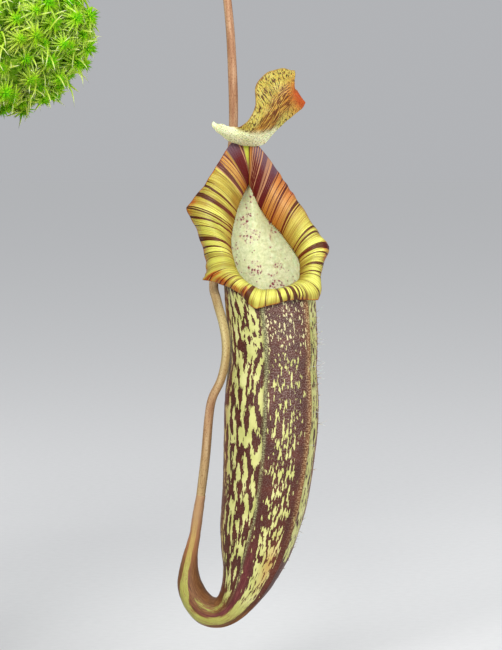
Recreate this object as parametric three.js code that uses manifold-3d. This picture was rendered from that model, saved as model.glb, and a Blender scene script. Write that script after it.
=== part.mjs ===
// A tropical pitcher plant (Nepenthes spectabilis x platychila) in a plain nursery pot.
// Millimetres, +Z up. The origin is the centre of the pot's flat base, and +X points
// from the pot towards the largest pitcher, which hangs beside the pot.
import * as THREE from "three";
import Module from "manifold-3d";
import { mergeVertices } from "three/addons/utils/BufferGeometryUtils.js";

const wasm = await Module();
wasm.setup();

// The gap that touching pieces keep
const CLEARANCE = 0.3;

// Pot: a tall thin-walled nursery pot with a rolled rim band
const POT_HEIGHT = 235;
const POT_RIM_RADIUS = 95;
const POT_RIM_DEPTH = 14;
const POT_RIM_STEP = 4;
const POT_BASE_RADIUS = 70;
const POT_BASE_ROUND = 4;
const POT_WALL = 2.2;
const POT_SIDES = 40;
const DRAIN_COUNT = 8;
const DRAIN_RADIUS = 5.5;
const DRAIN_RING_RADIUS = 50;
const DRAIN_SIDES = 12;

// Stem: stands in a plain hole in the growing medium
const STEM_FOOT = 180;
const STEM_TOP = 384;
const STEM_RADIUS = 5.6;
const STEM_TIP_RADIUS = 2.6;
const STEM_SIDES = 10;
const STEM_RINGS = 18;
const STEM_HOLE_RADIUS = STEM_RADIUS + CLEARANCE + 0.5;

// Moss: a cushion of live sphagnum that grows out over the rim, most of all towards +X
const MOSS_BASE = POT_HEIGHT + CLEARANCE;
const MOSS_INNER_RADIUS = POT_RIM_RADIUS + 0.8;
const MOSS_SPACING = 8;
const MOSS_OUTLINE_STEPS = 22;
const MOSS_HEAD_RISE = 4.6;
const MOSS_HEAD_PITCH = 1.25;
const MOSS_DIP = 1.6;
const MOSS_TOP = 283;
const MOSS_SQUARENESS = 4;
const MOSS_LOBES = [
  { azimuth: 0, spread: 27, reach: 27, drop: 7, lift: 5 },
  { azimuth: 112, spread: 30, reach: 8, drop: 2, lift: 0 },
  { azimuth: 205, spread: 38, reach: 11, drop: 3, lift: 1 },
  { azimuth: 290, spread: 26, reach: 9, drop: 2.5, lift: 0 },
];
const MOSS_REACH = 105;
const MOSS_MIDDLE = 253;
const MOSS_DROP = 25;

// Leaves, from the lowest up the stem; each tip carries a tendril, and some a pitcher
const LEAF_THICKNESS = 0.9;
const MIDRIB_THICKNESS = 2.4;
const LEAF_SEAT = 1.05;
const FULL_LEAF_REACH = 150;
const LEAF_ROWS = 14;
const LEAF_ACROSS = [-1, -0.5, 0, 0.5, 1];
const LEAVES = [
  { azimuth: 58.5, height: 300, reach: 142, arch: 30, tip: 306, width: 40, wave: 0.4 },
  { azimuth: -79, height: 309, reach: 148, arch: 46, tip: 318, width: 44, wave: 2.1 },
  { azimuth: 143.5, height: 318, reach: 146, arch: 50, tip: 316, width: 46, wave: 3.3 },
  { azimuth: 5.8, height: 328, reach: 153, arch: 50, tip: 343, width: 47, wave: 1.2 },
  { azimuth: -131.5, height: 338, reach: 140, arch: 58, tip: 362, width: 45, wave: 5.0 },
  { azimuth: 91, height: 347, reach: 128, arch: 62, tip: 385, width: 43, wave: 4.1 },
  { azimuth: -46.5, height: 356, reach: 98, arch: 62, tip: 409, width: 36, wave: 0.9 },
  { azimuth: 176, height: 364, reach: 78, arch: 42, tip: 424, width: 29, wave: 2.6 },
  { azimuth: 38.5, height: 372, reach: 34, arch: 44, tip: 432, width: 17, wave: 1.7 },
];

// Pitchers: the leaf that carries each, where its tendril passes the lid, its turn and size
const PITCHERS = [
  { leaf: 2, reach: 180, azimuth: -79, height: 252, turn: -70, size: 0.82, detail: "plain" },
  { leaf: 3, reach: 176, azimuth: 143.5, height: 240, turn: 150, size: 0.72, detail: "plain" },
  { leaf: 4, reach: 186.6, azimuth: 6.46, height: 266.6, turn: 0, size: 1, detail: "fine" },
];

// The dimensions below are in a pitcher's own frame, at size 1: +X to the right and -Y towards
// whoever looks into the mouth, with the curled tail's lowest point near height 0.

// Axis of the cup: x, y, z and radius, from below the mouth, round the curl, to the tendril
const CUP_AXIS = [
  [0.6, 0, 100, 16.7],
  [0.2, 0, 84, 18],
  [-0.5, 0.3, 67, 17.2],
  [-2, 1.1, 50, 16],
  [-4.1, 2.4, 36.8, 14.6],
  [-5.8, 3.8, 28, 12.9],
  [-8.5, 5.4, 19.2, 10.4],
  [-12, 7.2, 11.4, 7.9],
  [-16, 8.6, 6.1, 6.3],
  [-20.2, 9.7, 3.9, 5.9],
  [-24.9, 10.7, 4.8, 5.8],
  [-28.7, 11.5, 8.6, 5.5],
  [-31, 11.9, 13.6, 4.9],
  [-31.6, 12, 18.5, 4],
  [-31, 11.6, 25.4, 2.9],
  [-29.2, 10.8, 33.4, 2.1],
  [-27.7, 9.8, 41.5, 1.9],
  [-26.3, 8.8, 50, 1.8],
];
const CUP_WALL = 1.2;
const CUP_ANGLE_STEP = { fine: 15, plain: 20 };
const CUP_RINGS = { fine: 29, plain: 18 };
const CAVITY_RINGS = { fine: 9, plain: 6 };
const COLLAR_RINGS = { fine: 5, plain: 3 };
const CAVITY_END = 0.39;
// The wall above the axis's start: where it would pass on its way up to the slanting rim
const COLLAR_CENTRE_X = 0.7;
const COLLAR_RADIUS = 17.9;
const COLLAR_SHARE = 0.45;
const RIB_ANGLES = [-8, 52];
const RIB_HEIGHT = 1.1;
const RIB_HALF_ANGLE = 4;
const RIB_FADE_SPAN = [0.32, 0.53];
const TAIL_TWIST = 48;
const TWIST_SPAN = [0.3, 0.76];

// Mouth: a tilted plane, with the inner lip given by x and z and the flared edge by x, y and z,
// from the neck at the back, down the left side, along the front and up the right side
const MOUTH_TILT = 55;
const MOUTH_TURN = 12;
const MOUTH_CENTRE = new THREE.Vector3(-1.9, 0, 147.6);
const MOUTH_STATIONS = [
  { inner: [-8.2, 169.2], outer: [-9.5, 13.4, 182.2] },
  { inner: [-8.7, 168.4], outer: [-14.6, 11.8, 184.2] },
  { inner: [-10.3, 165.3], outer: [-19.8, 9, 176.2] },
  { inner: [-12.9, 159.2], outer: [-24.7, 6, 169] },
  { inner: [-14.8, 150.5], outer: [-31.4, 2.5, 159.3] },
  { inner: [-15, 145.2], outer: [-28.2, 0, 150.9] },
  { inner: [-14.1, 140.6], outer: [-25.1, -3, 141.4] },
  { inner: [-13.5, 138.6], outer: [-24.6, -4.8, 136.2] },
  { inner: [-12.7, 136.8], outer: [-25.4, -6.5, 132.2] },
  { inner: [-11.4, 134.5], outer: [-20.9, -11.5, 131.6] },
  { inner: [-8.4, 131.4], outer: [-13.1, -16.5, 128.3] },
  { inner: [-4.9, 129.8], outer: [-7.6, -19, 123.1] },
  { inner: [-1.5, 129.2], outer: [-1.9, -19.8, 123.1] },
  { inner: [4.8, 130], outer: [7.4, -18.2, 125.3] },
  { inner: [10.4, 132.8], outer: [17.7, -10.5, 126.7] },
  { inner: [11.4, 136.5], outer: [18.9, -5.5, 136] },
  { inner: [11.1, 140.2], outer: [21.7, -1, 144.8] },
  { inner: [9, 143.9], outer: [17.4, 2, 150.9] },
  { inner: [4, 150.7], outer: [10.2, 6, 162] },
  { inner: [-0.8, 155.4], outer: [5.7, 8, 168] },
  { inner: [-4.2, 160], outer: [1.1, 9.8, 174.4] },
  { inner: [-7.4, 166.8], outer: [-6.5, 11.8, 183.6] },
];
const PERISTOME_THICKNESS = 1.3;
const PERISTOME_ACROSS = [0, 0.3, 0.68, 1];
const PERISTOME_CROWN = 3.2;
const PERISTOME_APEX_CROWN = 1;
const PERISTOME_ROLL = 1.6;
const RIM_PLACE = 0.27;
const RIM_CLEARANCE = { fine: 0.95, plain: 1.7 };
const NECK_TOP = new THREE.Vector3(-8.8, 16.5, 184.3);

// Lid: a thin saddle, given from its left tip to its right edge by its lower edge, its fold
// and its upper edge
const LID_THICKNESS = 1;
const LID_ROWS = { fine: 15, plain: 10 };
const LID_COLUMNS = { fine: 6, plain: 5 };
const LID_STATIONS = [
  { lower: [-22.3, 3.5, 190.8], fold: [-22.2, 2.6, 191.6], upper: [-21.9, 2.4, 192.3] },
  { lower: [-18.4, 5.6, 187.2], fold: [-18.5, 2.6, 188.9], upper: [-18.3, 1.6, 190.6] },
  { lower: [-13.6, 9.4, 185.2], fold: [-13.8, 3, 187], upper: [-13.2, 0.4, 190] },
  { lower: [-8.4, 14.8, 184.2], fold: [-8.9, 3.6, 186.8], upper: [-8, -0.6, 191.9] },
  { lower: [-3.4, 11, 184.8], fold: [-3.6, 2.4, 189.6], upper: [-5.4, -1.2, 198.2] },
  { lower: [0.4, 7.6, 187.8], fold: [0.6, 0.4, 194.4], upper: [-5.3, 0, 205] },
  { lower: [4.2, 5.4, 191.6], fold: [3.6, -1, 199.6], upper: [-2.2, 1.6, 210.4] },
  { lower: [7.8, 4, 194.9], fold: [6.4, -1.2, 202.8], upper: [4.2, 3, 212.2] },
  { lower: [9.9, 3.2, 196.8], fold: [8, -0.6, 204], upper: [8.6, 3.6, 211.4] },
  { lower: [11, 2.8, 198], fold: [9.2, 0.6, 202.6], upper: [7.3, 3.8, 207] },
  { lower: [11.9, 2.4, 199.4], fold: [10.8, 1.8, 201], upper: [9.5, 3, 203.2] },
];

// Tendril past its pitcher: from the tail, touching the cup's left side, behind the mouth
const TENDRIL_ROUTE = [
  [-25.1, 6.6, 64],
  [-23.7, 2.6, 79.5],
  [-22.2, -1.2, 87.5],
  [-19, -4.8, 94.5],
  [-17.3, -7.4, 102],
  [-17.1, -8.1, 109],
  [-18.2, -6.5, 116],
  [-20.6, 1.4, 124.5],
  [-21.8, 8.4, 131],
  [-19.9, 17, 148],
  [-17, 20.6, 166],
  [-14.8, 22, 184],
  [-14.4, 22.2, 200],
  [-15.2, 21.8, 222],
  [-16.7, 21, 238.6],
];
const TENDRIL_RADIUS = 1.7;
const BUD_RADIUS = 2.9;
const BUD_STALK_RADIUS = 1.1;
const BUD_TIP_RADIUS = 1.2;
const TENDRIL_SIDES = { fine: 8, plain: 6 };
const TENDRIL_RINGS = { fine: 56, plain: 44, bud: 17 };
const TIP_GAP = 0.4;
const TAIL_GAP = 0.45;

const COLOURS = {
  pot: 0x1d1e1f,
  medium: 0x4a3526,
  moss: 0x86b82a,
  stem: 0x6f6a35,
  leaf: 0x4f7a2b,
  tendril: 0xb08058,
  cup: 0x7b4a45,
  peristome: 0xc4a733,
  lid: 0xcfc578,
};

const degrees = THREE.MathUtils.degToRad;
const vector = ([x, y, z]) => new THREE.Vector3(x, y, z);

// A smooth curve through points
function curveThrough(points, closed = false) {
  return new THREE.CatmullRomCurve3(points, closed, "catmullrom", 0.5);
}

// A point at a reach and azimuth from the pot's axis
function around(azimuth, reach, height) {
  return new THREE.Vector3(reach * Math.cos(degrees(azimuth)), reach * Math.sin(degrees(azimuth)), height);
}

// A repeatable stand-in for chance
function makeRandom(seed) {
  let state = seed;
  return () => {
    state = (state * 1664525 + 1013904223) % 4294967296;
    return state / 4294967296;
  };
}

// A closed body from points and triangles, with its faces turned outwards
function closedGeometry(points, faces) {
  const edgeA = new THREE.Vector3();
  const edgeB = new THREE.Vector3();
  let volume = 0;
  for (const [a, b, c] of faces) {
    edgeA.crossVectors(points[a], points[b]);
    volume += edgeA.dot(edgeB.copy(points[c]));
  }
  const outward = volume < 0 ? faces.map(([a, b, c]) => [a, c, b]) : faces;
  const geometry = new THREE.BufferGeometry();
  geometry.setFromPoints(points);
  geometry.setIndex(outward.flat());
  geometry.computeVertexNormals();
  return geometry;
}

// Triangles between two rings, which may differ in how many points they have
function stitch(faces, startA, countA, startB, countB) {
  let a = 0;
  let b = 0;
  while (a < countA || b < countB) {
    const thisA = startA + (a % countA);
    const thisB = startB + (b % countB);
    if (a < countA && (b === countB || (a + 1) / countA <= (b + 1) / countB)) {
      a += 1;
      faces.push([thisA, startA + (a % countA), thisB]);
    } else {
      b += 1;
      faces.push([thisA, startB + (b % countB), thisB]);
    }
  }
}

// A skin over a row of rings, closed by its end caps or by joining its last ring to its first
function skin(rings, joined = false) {
  const points = rings.flat();
  const faces = [];
  const starts = [];
  let total = 0;
  for (const ring of rings) {
    starts.push(total);
    total += ring.length;
  }
  const bands = joined ? rings.length : rings.length - 1;
  for (let band = 0; band < bands; band += 1) {
    const next = (band + 1) % rings.length;
    stitch(faces, starts[band], rings[band].length, starts[next], rings[next].length);
  }
  if (!joined) {
    const last = rings.length - 1;
    capRing(points, faces, starts[0], rings[0], false);
    capRing(points, faces, starts[last], rings[last], true);
  }
  return closedGeometry(points, faces);
}

function capRing(points, faces, start, ring, atEnd) {
  const middle = new THREE.Vector3();
  for (const point of ring) middle.addScaledVector(point, 1 / ring.length);
  const centre = points.push(middle) - 1;
  for (let i = 0; i < ring.length; i += 1) {
    const here = start + i;
    const next = start + ((i + 1) % ring.length);
    faces.push(atEnd ? [here, next, centre] : [next, here, centre]);
  }
}

// A thin plate over a grid of points, with both faces split into triangles alike
function plate(grid, thicknessAt) {
  const rows = grid.length;
  const columns = grid[0].length;
  const points = [];
  for (const side of [1, -1]) {
    for (let row = 0; row < rows; row += 1) {
      for (let column = 0; column < columns; column += 1) {
        const [nextRow, lastRow] = [Math.min(row + 1, rows - 1), Math.max(row - 1, 0)];
        const [nextColumn, lastColumn] = [Math.min(column + 1, columns - 1), Math.max(column - 1, 0)];
        const along = grid[nextRow][column].clone().sub(grid[lastRow][column]);
        const across = grid[row][nextColumn].clone().sub(grid[row][lastColumn]);
        const normal = along.cross(across).normalize();
        const offset = thicknessAt(row, column, side) * side;
        points.push(grid[row][column].clone().addScaledVector(normal, offset));
      }
    }
  }
  const faces = [];
  const back = rows * columns;
  const index = (row, column) => row * columns + column;
  for (let row = 0; row < rows - 1; row += 1) {
    for (let column = 0; column < columns - 1; column += 1) {
      const [a, b] = [index(row, column), index(row + 1, column)];
      const [c, d] = [index(row + 1, column + 1), index(row, column + 1)];
      faces.push([a, b, c], [a, c, d]);
      faces.push([back + a, back + c, back + b], [back + a, back + d, back + c]);
    }
  }
  const edge = [];
  for (let row = 0; row < rows - 1; row += 1) edge.push(index(row, 0));
  for (let column = 0; column < columns - 1; column += 1) edge.push(index(rows - 1, column));
  for (let row = rows - 1; row > 0; row -= 1) edge.push(index(row, columns - 1));
  for (let column = columns - 1; column > 0; column -= 1) edge.push(index(0, column));
  edge.forEach((here, i) => {
    const next = edge[(i + 1) % edge.length];
    faces.push([here, back + here, back + next], [here, back + next, next]);
  });
  return closedGeometry(points, faces);
}

// A round stalk along a curve, whose radius follows a formula
function stalk(curve, radiusAt, sides, steps) {
  const frames = curve.computeFrenetFrames(steps, false);
  const rings = [];
  for (let step = 0; step <= steps; step += 1) {
    const along = step / steps;
    const centre = curve.getPointAt(along);
    const ring = [];
    for (let side = 0; side < sides; side += 1) {
      const angle = (side / sides) * Math.PI * 2;
      const point = centre.clone();
      point.addScaledVector(frames.normals[step], Math.cos(angle) * radiusAt(along));
      point.addScaledVector(frames.binormals[step], Math.sin(angle) * radiusAt(along));
      ring.push(point);
    }
    rings.push(ring);
  }
  return skin(rings);
}

// Joins and cuts of closed bodies
function toManifold(geometry) {
  const bare = geometry.clone();
  bare.deleteAttribute("normal");
  bare.deleteAttribute("uv");
  const merged = mergeVertices(bare, 1e-4);
  const vertProperties = new Float32Array(merged.attributes.position.array);
  const triVerts = new Uint32Array(merged.index.array);
  return new wasm.Manifold(new wasm.Mesh({ numProp: 3, vertProperties, triVerts }));
}

function fromManifold(solid) {
  const mesh = solid.getMesh();
  const geometry = new THREE.BufferGeometry();
  geometry.setAttribute("position", new THREE.BufferAttribute(new Float32Array(mesh.vertProperties), 3));
  geometry.setIndex(new THREE.BufferAttribute(new Uint32Array(mesh.triVerts), 1));
  geometry.computeVertexNormals();
  return geometry;
}

// A body of revolution about Z from a profile of radius and height
function turned(profile, sides) {
  const geometry = new THREE.LatheGeometry(profile.map(([r, z]) => new THREE.Vector2(r, z)), sides);
  geometry.rotateX(Math.PI / 2);
  return geometry;
}

function potGeometry() {
  const rimFoot = POT_HEIGHT - POT_RIM_DEPTH;
  const wallTop = POT_RIM_RADIUS - POT_RIM_STEP;
  const innerFoot = POT_BASE_RADIUS - POT_WALL;
  const body = turned([
    [0, 0],
    [POT_BASE_RADIUS - POT_BASE_ROUND, 0],
    [POT_BASE_RADIUS - POT_BASE_ROUND * 0.3, POT_BASE_ROUND * 0.3],
    [POT_BASE_RADIUS, POT_BASE_ROUND],
    [wallTop, rimFoot],
    [POT_RIM_RADIUS - 0.6, rimFoot + 0.6],
    [POT_RIM_RADIUS, rimFoot + 2],
    [POT_RIM_RADIUS, POT_HEIGHT - 2],
    [POT_RIM_RADIUS - 0.7, POT_HEIGHT - 0.5],
    [POT_RIM_RADIUS - 1.6, POT_HEIGHT],
    [POT_RIM_RADIUS - POT_WALL, POT_HEIGHT],
    [POT_RIM_RADIUS - POT_WALL, rimFoot + POT_WALL],
    [wallTop - POT_WALL, rimFoot + POT_WALL],
    [innerFoot, POT_WALL],
    [0, POT_WALL],
  ], POT_SIDES);
  let solid = toManifold(body);
  for (let hole = 0; hole < DRAIN_COUNT; hole += 1) {
    const angle = (hole / DRAIN_COUNT) * Math.PI * 2;
    const drill = new THREE.CylinderGeometry(DRAIN_RADIUS, DRAIN_RADIUS, POT_WALL * 4, DRAIN_SIDES);
    drill.rotateX(Math.PI / 2);
    drill.translate(Math.cos(angle) * DRAIN_RING_RADIUS, Math.sin(angle) * DRAIN_RING_RADIUS, POT_WALL / 2);
    solid = solid.subtract(toManifold(drill));
  }
  return fromManifold(solid);
}

function mediumGeometry() {
  const floor = POT_WALL + CLEARANCE;
  const inset = POT_WALL + CLEARANCE * 1.4;
  const rimFoot = POT_HEIGHT - POT_RIM_DEPTH + POT_WALL;
  const wallTop = POT_RIM_RADIUS - POT_RIM_STEP;
  return turned([
    [0, floor],
    [POT_BASE_RADIUS - inset, floor],
    [wallTop - inset, rimFoot],
    [wallTop - inset, POT_HEIGHT],
    [STEM_HOLE_RADIUS, POT_HEIGHT],
    [STEM_HOLE_RADIUS, STEM_FOOT - CLEARANCE],
    [0, STEM_FOOT - CLEARANCE],
  ], POT_SIDES);
}

// How far the moss's lobes change a measure of it at an azimuth
function mossLobes(azimuth, measure) {
  let sum = 0;
  for (const lobe of MOSS_LOBES) {
    const away = ((azimuth - lobe.azimuth + 540) % 360) - 180;
    sum += lobe[measure] * Math.exp(-((away / lobe.spread) ** 2));
  }
  return sum;
}

// The cushion's outline at an azimuth: radius and height, from the stem to under the overhang
function mossOutline(azimuth) {
  const reach = MOSS_REACH + mossLobes(azimuth, "reach");
  const middle = MOSS_MIDDLE + mossLobes(azimuth, "lift") / 2;
  const top = MOSS_TOP + mossLobes(azimuth, "lift") - middle;
  const drop = MOSS_DROP + mossLobes(azimuth, "drop");
  const power = 2 / MOSS_SQUARENESS;
  const start = Math.asin((STEM_HOLE_RADIUS / reach) ** (1 / power));
  const end = Math.PI - Math.asin(((MOSS_INNER_RADIUS + 1.5) / reach) ** (1 / power));
  const points = [];
  for (let i = 0; i <= MOSS_OUTLINE_STEPS; i += 1) {
    const turn = start + ((end - start) * i) / MOSS_OUTLINE_STEPS;
    const height = Math.cos(turn) > 0 ? top : -drop;
    points.push(new THREE.Vector2(
      reach * Math.sin(turn) ** power,
      middle + height * Math.abs(Math.cos(turn)) ** power,
    ));
  }
  return new THREE.SplineCurve(points);
}

// A point of the cushion at a share of its outline's length, raised from the surface
function mossPoint(azimuth, place, rise) {
  const outline = mossOutline(azimuth);
  const flat = outline.getPointAt(place);
  const tangent = outline.getTangentAt(place);
  const radius = flat.x - tangent.y * rise;
  return around(azimuth, radius, flat.y + tangent.x * rise);
}

// The cushion: a net of points over the surface, of which those that have no raised neighbour
// are raised in turn, as the star-shaped heads of the moss stand out of it
function mossGeometry() {
  const random = makeRandom(11);
  const outline = mossOutline(90);
  const rowCount = Math.round(outline.getLength() / MOSS_SPACING);
  const rows = [];
  for (let row = 0; row <= rowCount; row += 1) {
    const place = row / rowCount;
    const count = Math.max(8, Math.round((2 * Math.PI * outline.getPointAt(place).x) / MOSS_SPACING));
    const shift = (row % 2) * 0.5;
    rows.push(Array.from({ length: count }, (unused, i) => ({
      azimuth: ((i + shift) / count) * 360,
      place,
      atEdge: row === 0 || row === rowCount,
    })));
  }
  const raised = [];
  const rings = rows.map((row) => row.map(({ azimuth, place, atEdge }) => {
    const flat = mossPoint(azimuth, place, 0);
    const chance = random();
    const crowded = raised.some((other) => other.distanceTo(flat) < MOSS_SPACING * MOSS_HEAD_PITCH);
    if (atEdge) return flat;
    if (crowded) return mossPoint(azimuth, place, -chance * MOSS_DIP);
    raised.push(flat);
    return mossPoint(azimuth, place, MOSS_HEAD_RISE * (0.8 + 0.4 * chance));
  }));
  const inner = rings[rings.length - 1].map((point) => {
    const scale = MOSS_INNER_RADIUS / Math.hypot(point.x, point.y);
    return new THREE.Vector3(point.x * scale, point.y * scale, point.z + 0.8);
  });
  const step = inner.map((point) => new THREE.Vector3(point.x, point.y, MOSS_BASE));
  const hole = rings[0].map((point) => new THREE.Vector3(point.x, point.y, MOSS_BASE));
  return skin([...rings, inner, step, hole], true);
}

function stemCurve() {
  return curveThrough([
    new THREE.Vector3(0, 0, STEM_FOOT),
    new THREE.Vector3(0, 0, POT_HEIGHT + 10),
    new THREE.Vector3(0, 0, MOSS_TOP + 8),
    new THREE.Vector3(0.4, -0.3, 330),
    new THREE.Vector3(-0.4, 0.3, 360),
    new THREE.Vector3(-0.2, 0.2, STEM_TOP),
  ]);
}

function stemRadiusAt(height) {
  const taper = THREE.MathUtils.smoothstep(height, 290, STEM_TOP);
  return THREE.MathUtils.lerp(STEM_RADIUS, STEM_TIP_RADIUS, taper);
}

function stemCentre(height) {
  return stemCurve().getPointAt((height - STEM_FOOT) / (STEM_TOP - STEM_FOOT));
}

function stemGeometry() {
  const length = STEM_TOP - STEM_FOOT;
  const radiusAt = (along) => stemRadiusAt(STEM_FOOT + along * length);
  return stalk(stemCurve(), radiusAt, STEM_SIDES, STEM_RINGS);
}

// The arched line of a leaf's midrib
function leafSpine(leaf) {
  const start = around(leaf.azimuth, stemRadiusAt(leaf.height) + LEAF_SEAT, 0).add(stemCentre(leaf.height));
  const rise = around(leaf.azimuth, leaf.reach * 0.3, leaf.height + leaf.arch);
  const crest = around(leaf.azimuth, leaf.reach * 0.74, leaf.tip + leaf.arch * 0.85);
  const tip = around(leaf.azimuth, leaf.reach, leaf.tip);
  return new THREE.CubicBezierCurve3(start, rise, crest, tip);
}

// Half the width of a strap leaf, which narrows to a petiole at the stem
function leafHalfWidth(leaf, along) {
  const petiole = 4.6 - along * 3;
  const blade = Math.sin(Math.PI * THREE.MathUtils.clamp((along - 0.1) / 0.9, 0, 1) ** 0.9);
  return Math.max(petiole, 1.5, (leaf.width / 2) * blade ** 0.72);
}

function leafGeometry(leaf) {
  const spine = leafSpine(leaf);
  const side = around(leaf.azimuth + 90, 1, 0);
  const grid = [];
  for (let row = 0; row < LEAF_ROWS; row += 1) {
    const along = row / (LEAF_ROWS - 1);
    const centre = spine.getPointAt(along);
    const up = spine.getTangentAt(along).cross(side).normalize();
    const half = leafHalfWidth(leaf, along);
    grid.push(LEAF_ACROSS.map((across) => {
      const gutter = half * 0.26 * Math.abs(across) ** 1.4;
      const wave = half * 0.07 * across ** 2 * Math.sin(along * 17 + leaf.wave + across);
      return centre.clone().addScaledVector(side, across * half).addScaledVector(up, gutter + wave);
    }));
  }
  const rib = (LEAF_ACROSS.length - 1) / 2;
  return plate(grid, (row, column, face) => {
    const onKeel = column === rib && face < 0 && row > 0;
    return onKeel ? MIDRIB_THICKNESS - LEAF_THICKNESS / 2 : LEAF_THICKNESS / 2;
  });
}

// The pitcher's own frame for a section of the cup: towards the viewer, and to the outside
function sectionFrame(tangent) {
  const toViewer = new THREE.Vector3(0, -1, 0).addScaledVector(tangent, tangent.y).normalize();
  const toRight = toViewer.clone().cross(tangent).normalize();
  return { toViewer, toRight };
}

function sectionPoint(centre, frame, radius, angle) {
  return centre.clone()
    .addScaledVector(frame.toViewer, Math.cos(degrees(angle)) * radius)
    .addScaledVector(frame.toRight, Math.sin(degrees(angle)) * radius);
}

const mouthNormal = new THREE.Vector3(
  Math.sin(degrees(MOUTH_TURN)) * Math.sin(degrees(MOUTH_TILT)),
  -Math.cos(degrees(MOUTH_TURN)) * Math.sin(degrees(MOUTH_TILT)),
  Math.cos(degrees(MOUTH_TILT)),
);

function mouthInnerPoint([x, z]) {
  const offset = mouthNormal.x * (x - MOUTH_CENTRE.x) + mouthNormal.z * (z - MOUTH_CENTRE.z);
  return new THREE.Vector3(x, MOUTH_CENTRE.y - offset / mouthNormal.y, z);
}

const mouthInner = curveThrough(MOUTH_STATIONS.map((station) => mouthInnerPoint(station.inner)), true);
const mouthOuter = curveThrough(MOUTH_STATIONS.map((station) => vector(station.outer)), true);

// A point on the middle of the peristome's band: across it from the inner lip to the flared edge
function bandPoint(around01, across) {
  const inner = mouthInner.getPoint(around01);
  const outer = mouthOuter.getPoint(around01);
  const high = THREE.MathUtils.smoothstep(outer.z, 160, 182);
  const crown = THREE.MathUtils.lerp(PERISTOME_CROWN, PERISTOME_APEX_CROWN, high);
  const lift = 4 * across * (1 - across) * crown - (1 - high) * PERISTOME_ROLL * (1 - across) ** 3;
  return inner.lerp(outer, across).addScaledVector(mouthNormal, lift);
}

// The band's outward direction, square to its surface
function bandNormal(around01, across) {
  const turn = 0.004;
  const reach = 0.05;
  const along = bandPoint((around01 + turn) % 1, across).sub(bandPoint((around01 + 1 - turn) % 1, across));
  const [outward, inward] = [Math.min(across + reach, 1), Math.max(across - reach, 0)];
  const width = bandPoint(around01, outward).sub(bandPoint(around01, inward));
  const normal = along.cross(width).normalize();
  return normal.dot(mouthNormal) < 0 ? normal.negate() : normal;
}

function peristomeGeometry(stations) {
  const sections = [];
  for (let station = 0; station < stations; station += 1) {
    const around01 = station / stations;
    const face = (across, side) => bandPoint(around01, across)
      .addScaledVector(bandNormal(around01, across), side * PERISTOME_THICKNESS / 2);
    const front = PERISTOME_ACROSS.map((across) => face(across, 1));
    const back = [...PERISTOME_ACROSS].reverse().map((across) => face(across, -1));
    sections.push([...front, ...back]);
  }
  return skin(sections, true);
}

// A point just under the band
function underBand(around01, across, clearance) {
  const below = PERISTOME_THICKNESS / 2 + clearance;
  return bandPoint(around01, across).addScaledVector(bandNormal(around01, across), -below);
}

// The cup's rim runs under the band, with its outer and inner edge the wall's thickness apart.
// Each of its points is found by its direction in plan.
function rimPoints(angles, clearance) {
  const samples = [];
  for (let i = 0; i < 360; i += 1) {
    const around01 = i / 360;
    const outer = underBand(around01, RIM_PLACE, clearance);
    const width = mouthInner.getPoint(around01).distanceTo(mouthOuter.getPoint(around01));
    const inner = underBand(around01, RIM_PLACE - CUP_WALL / width, clearance);
    const angle = THREE.MathUtils.radToDeg(Math.atan2(outer.x - MOUTH_CENTRE.x, -outer.y));
    samples.push({ outer, inner, angle });
  }
  return angles.map((angle) => {
    let best = samples[0];
    const apart = (sample) => Math.abs(((sample.angle - angle + 540) % 360) - 180);
    for (const sample of samples) if (apart(sample) < apart(best)) best = sample;
    return { outer: best.outer.clone(), inner: best.inner.clone() };
  });
}

// Directions of the cup's corners round its axis, with close ones beside each rib
function cupAngles(detail) {
  const step = CUP_ANGLE_STEP[detail];
  const angles = [];
  for (let turn = 0; turn < 360; turn += step) angles.push(RIB_ANGLES[0] + turn);
  if (detail === "fine") {
    for (const rib of RIB_ANGLES) angles.push(rib - RIB_HALF_ANGLE, rib + RIB_HALF_ANGLE);
  }
  return angles.sort((a, b) => a - b);
}

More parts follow.
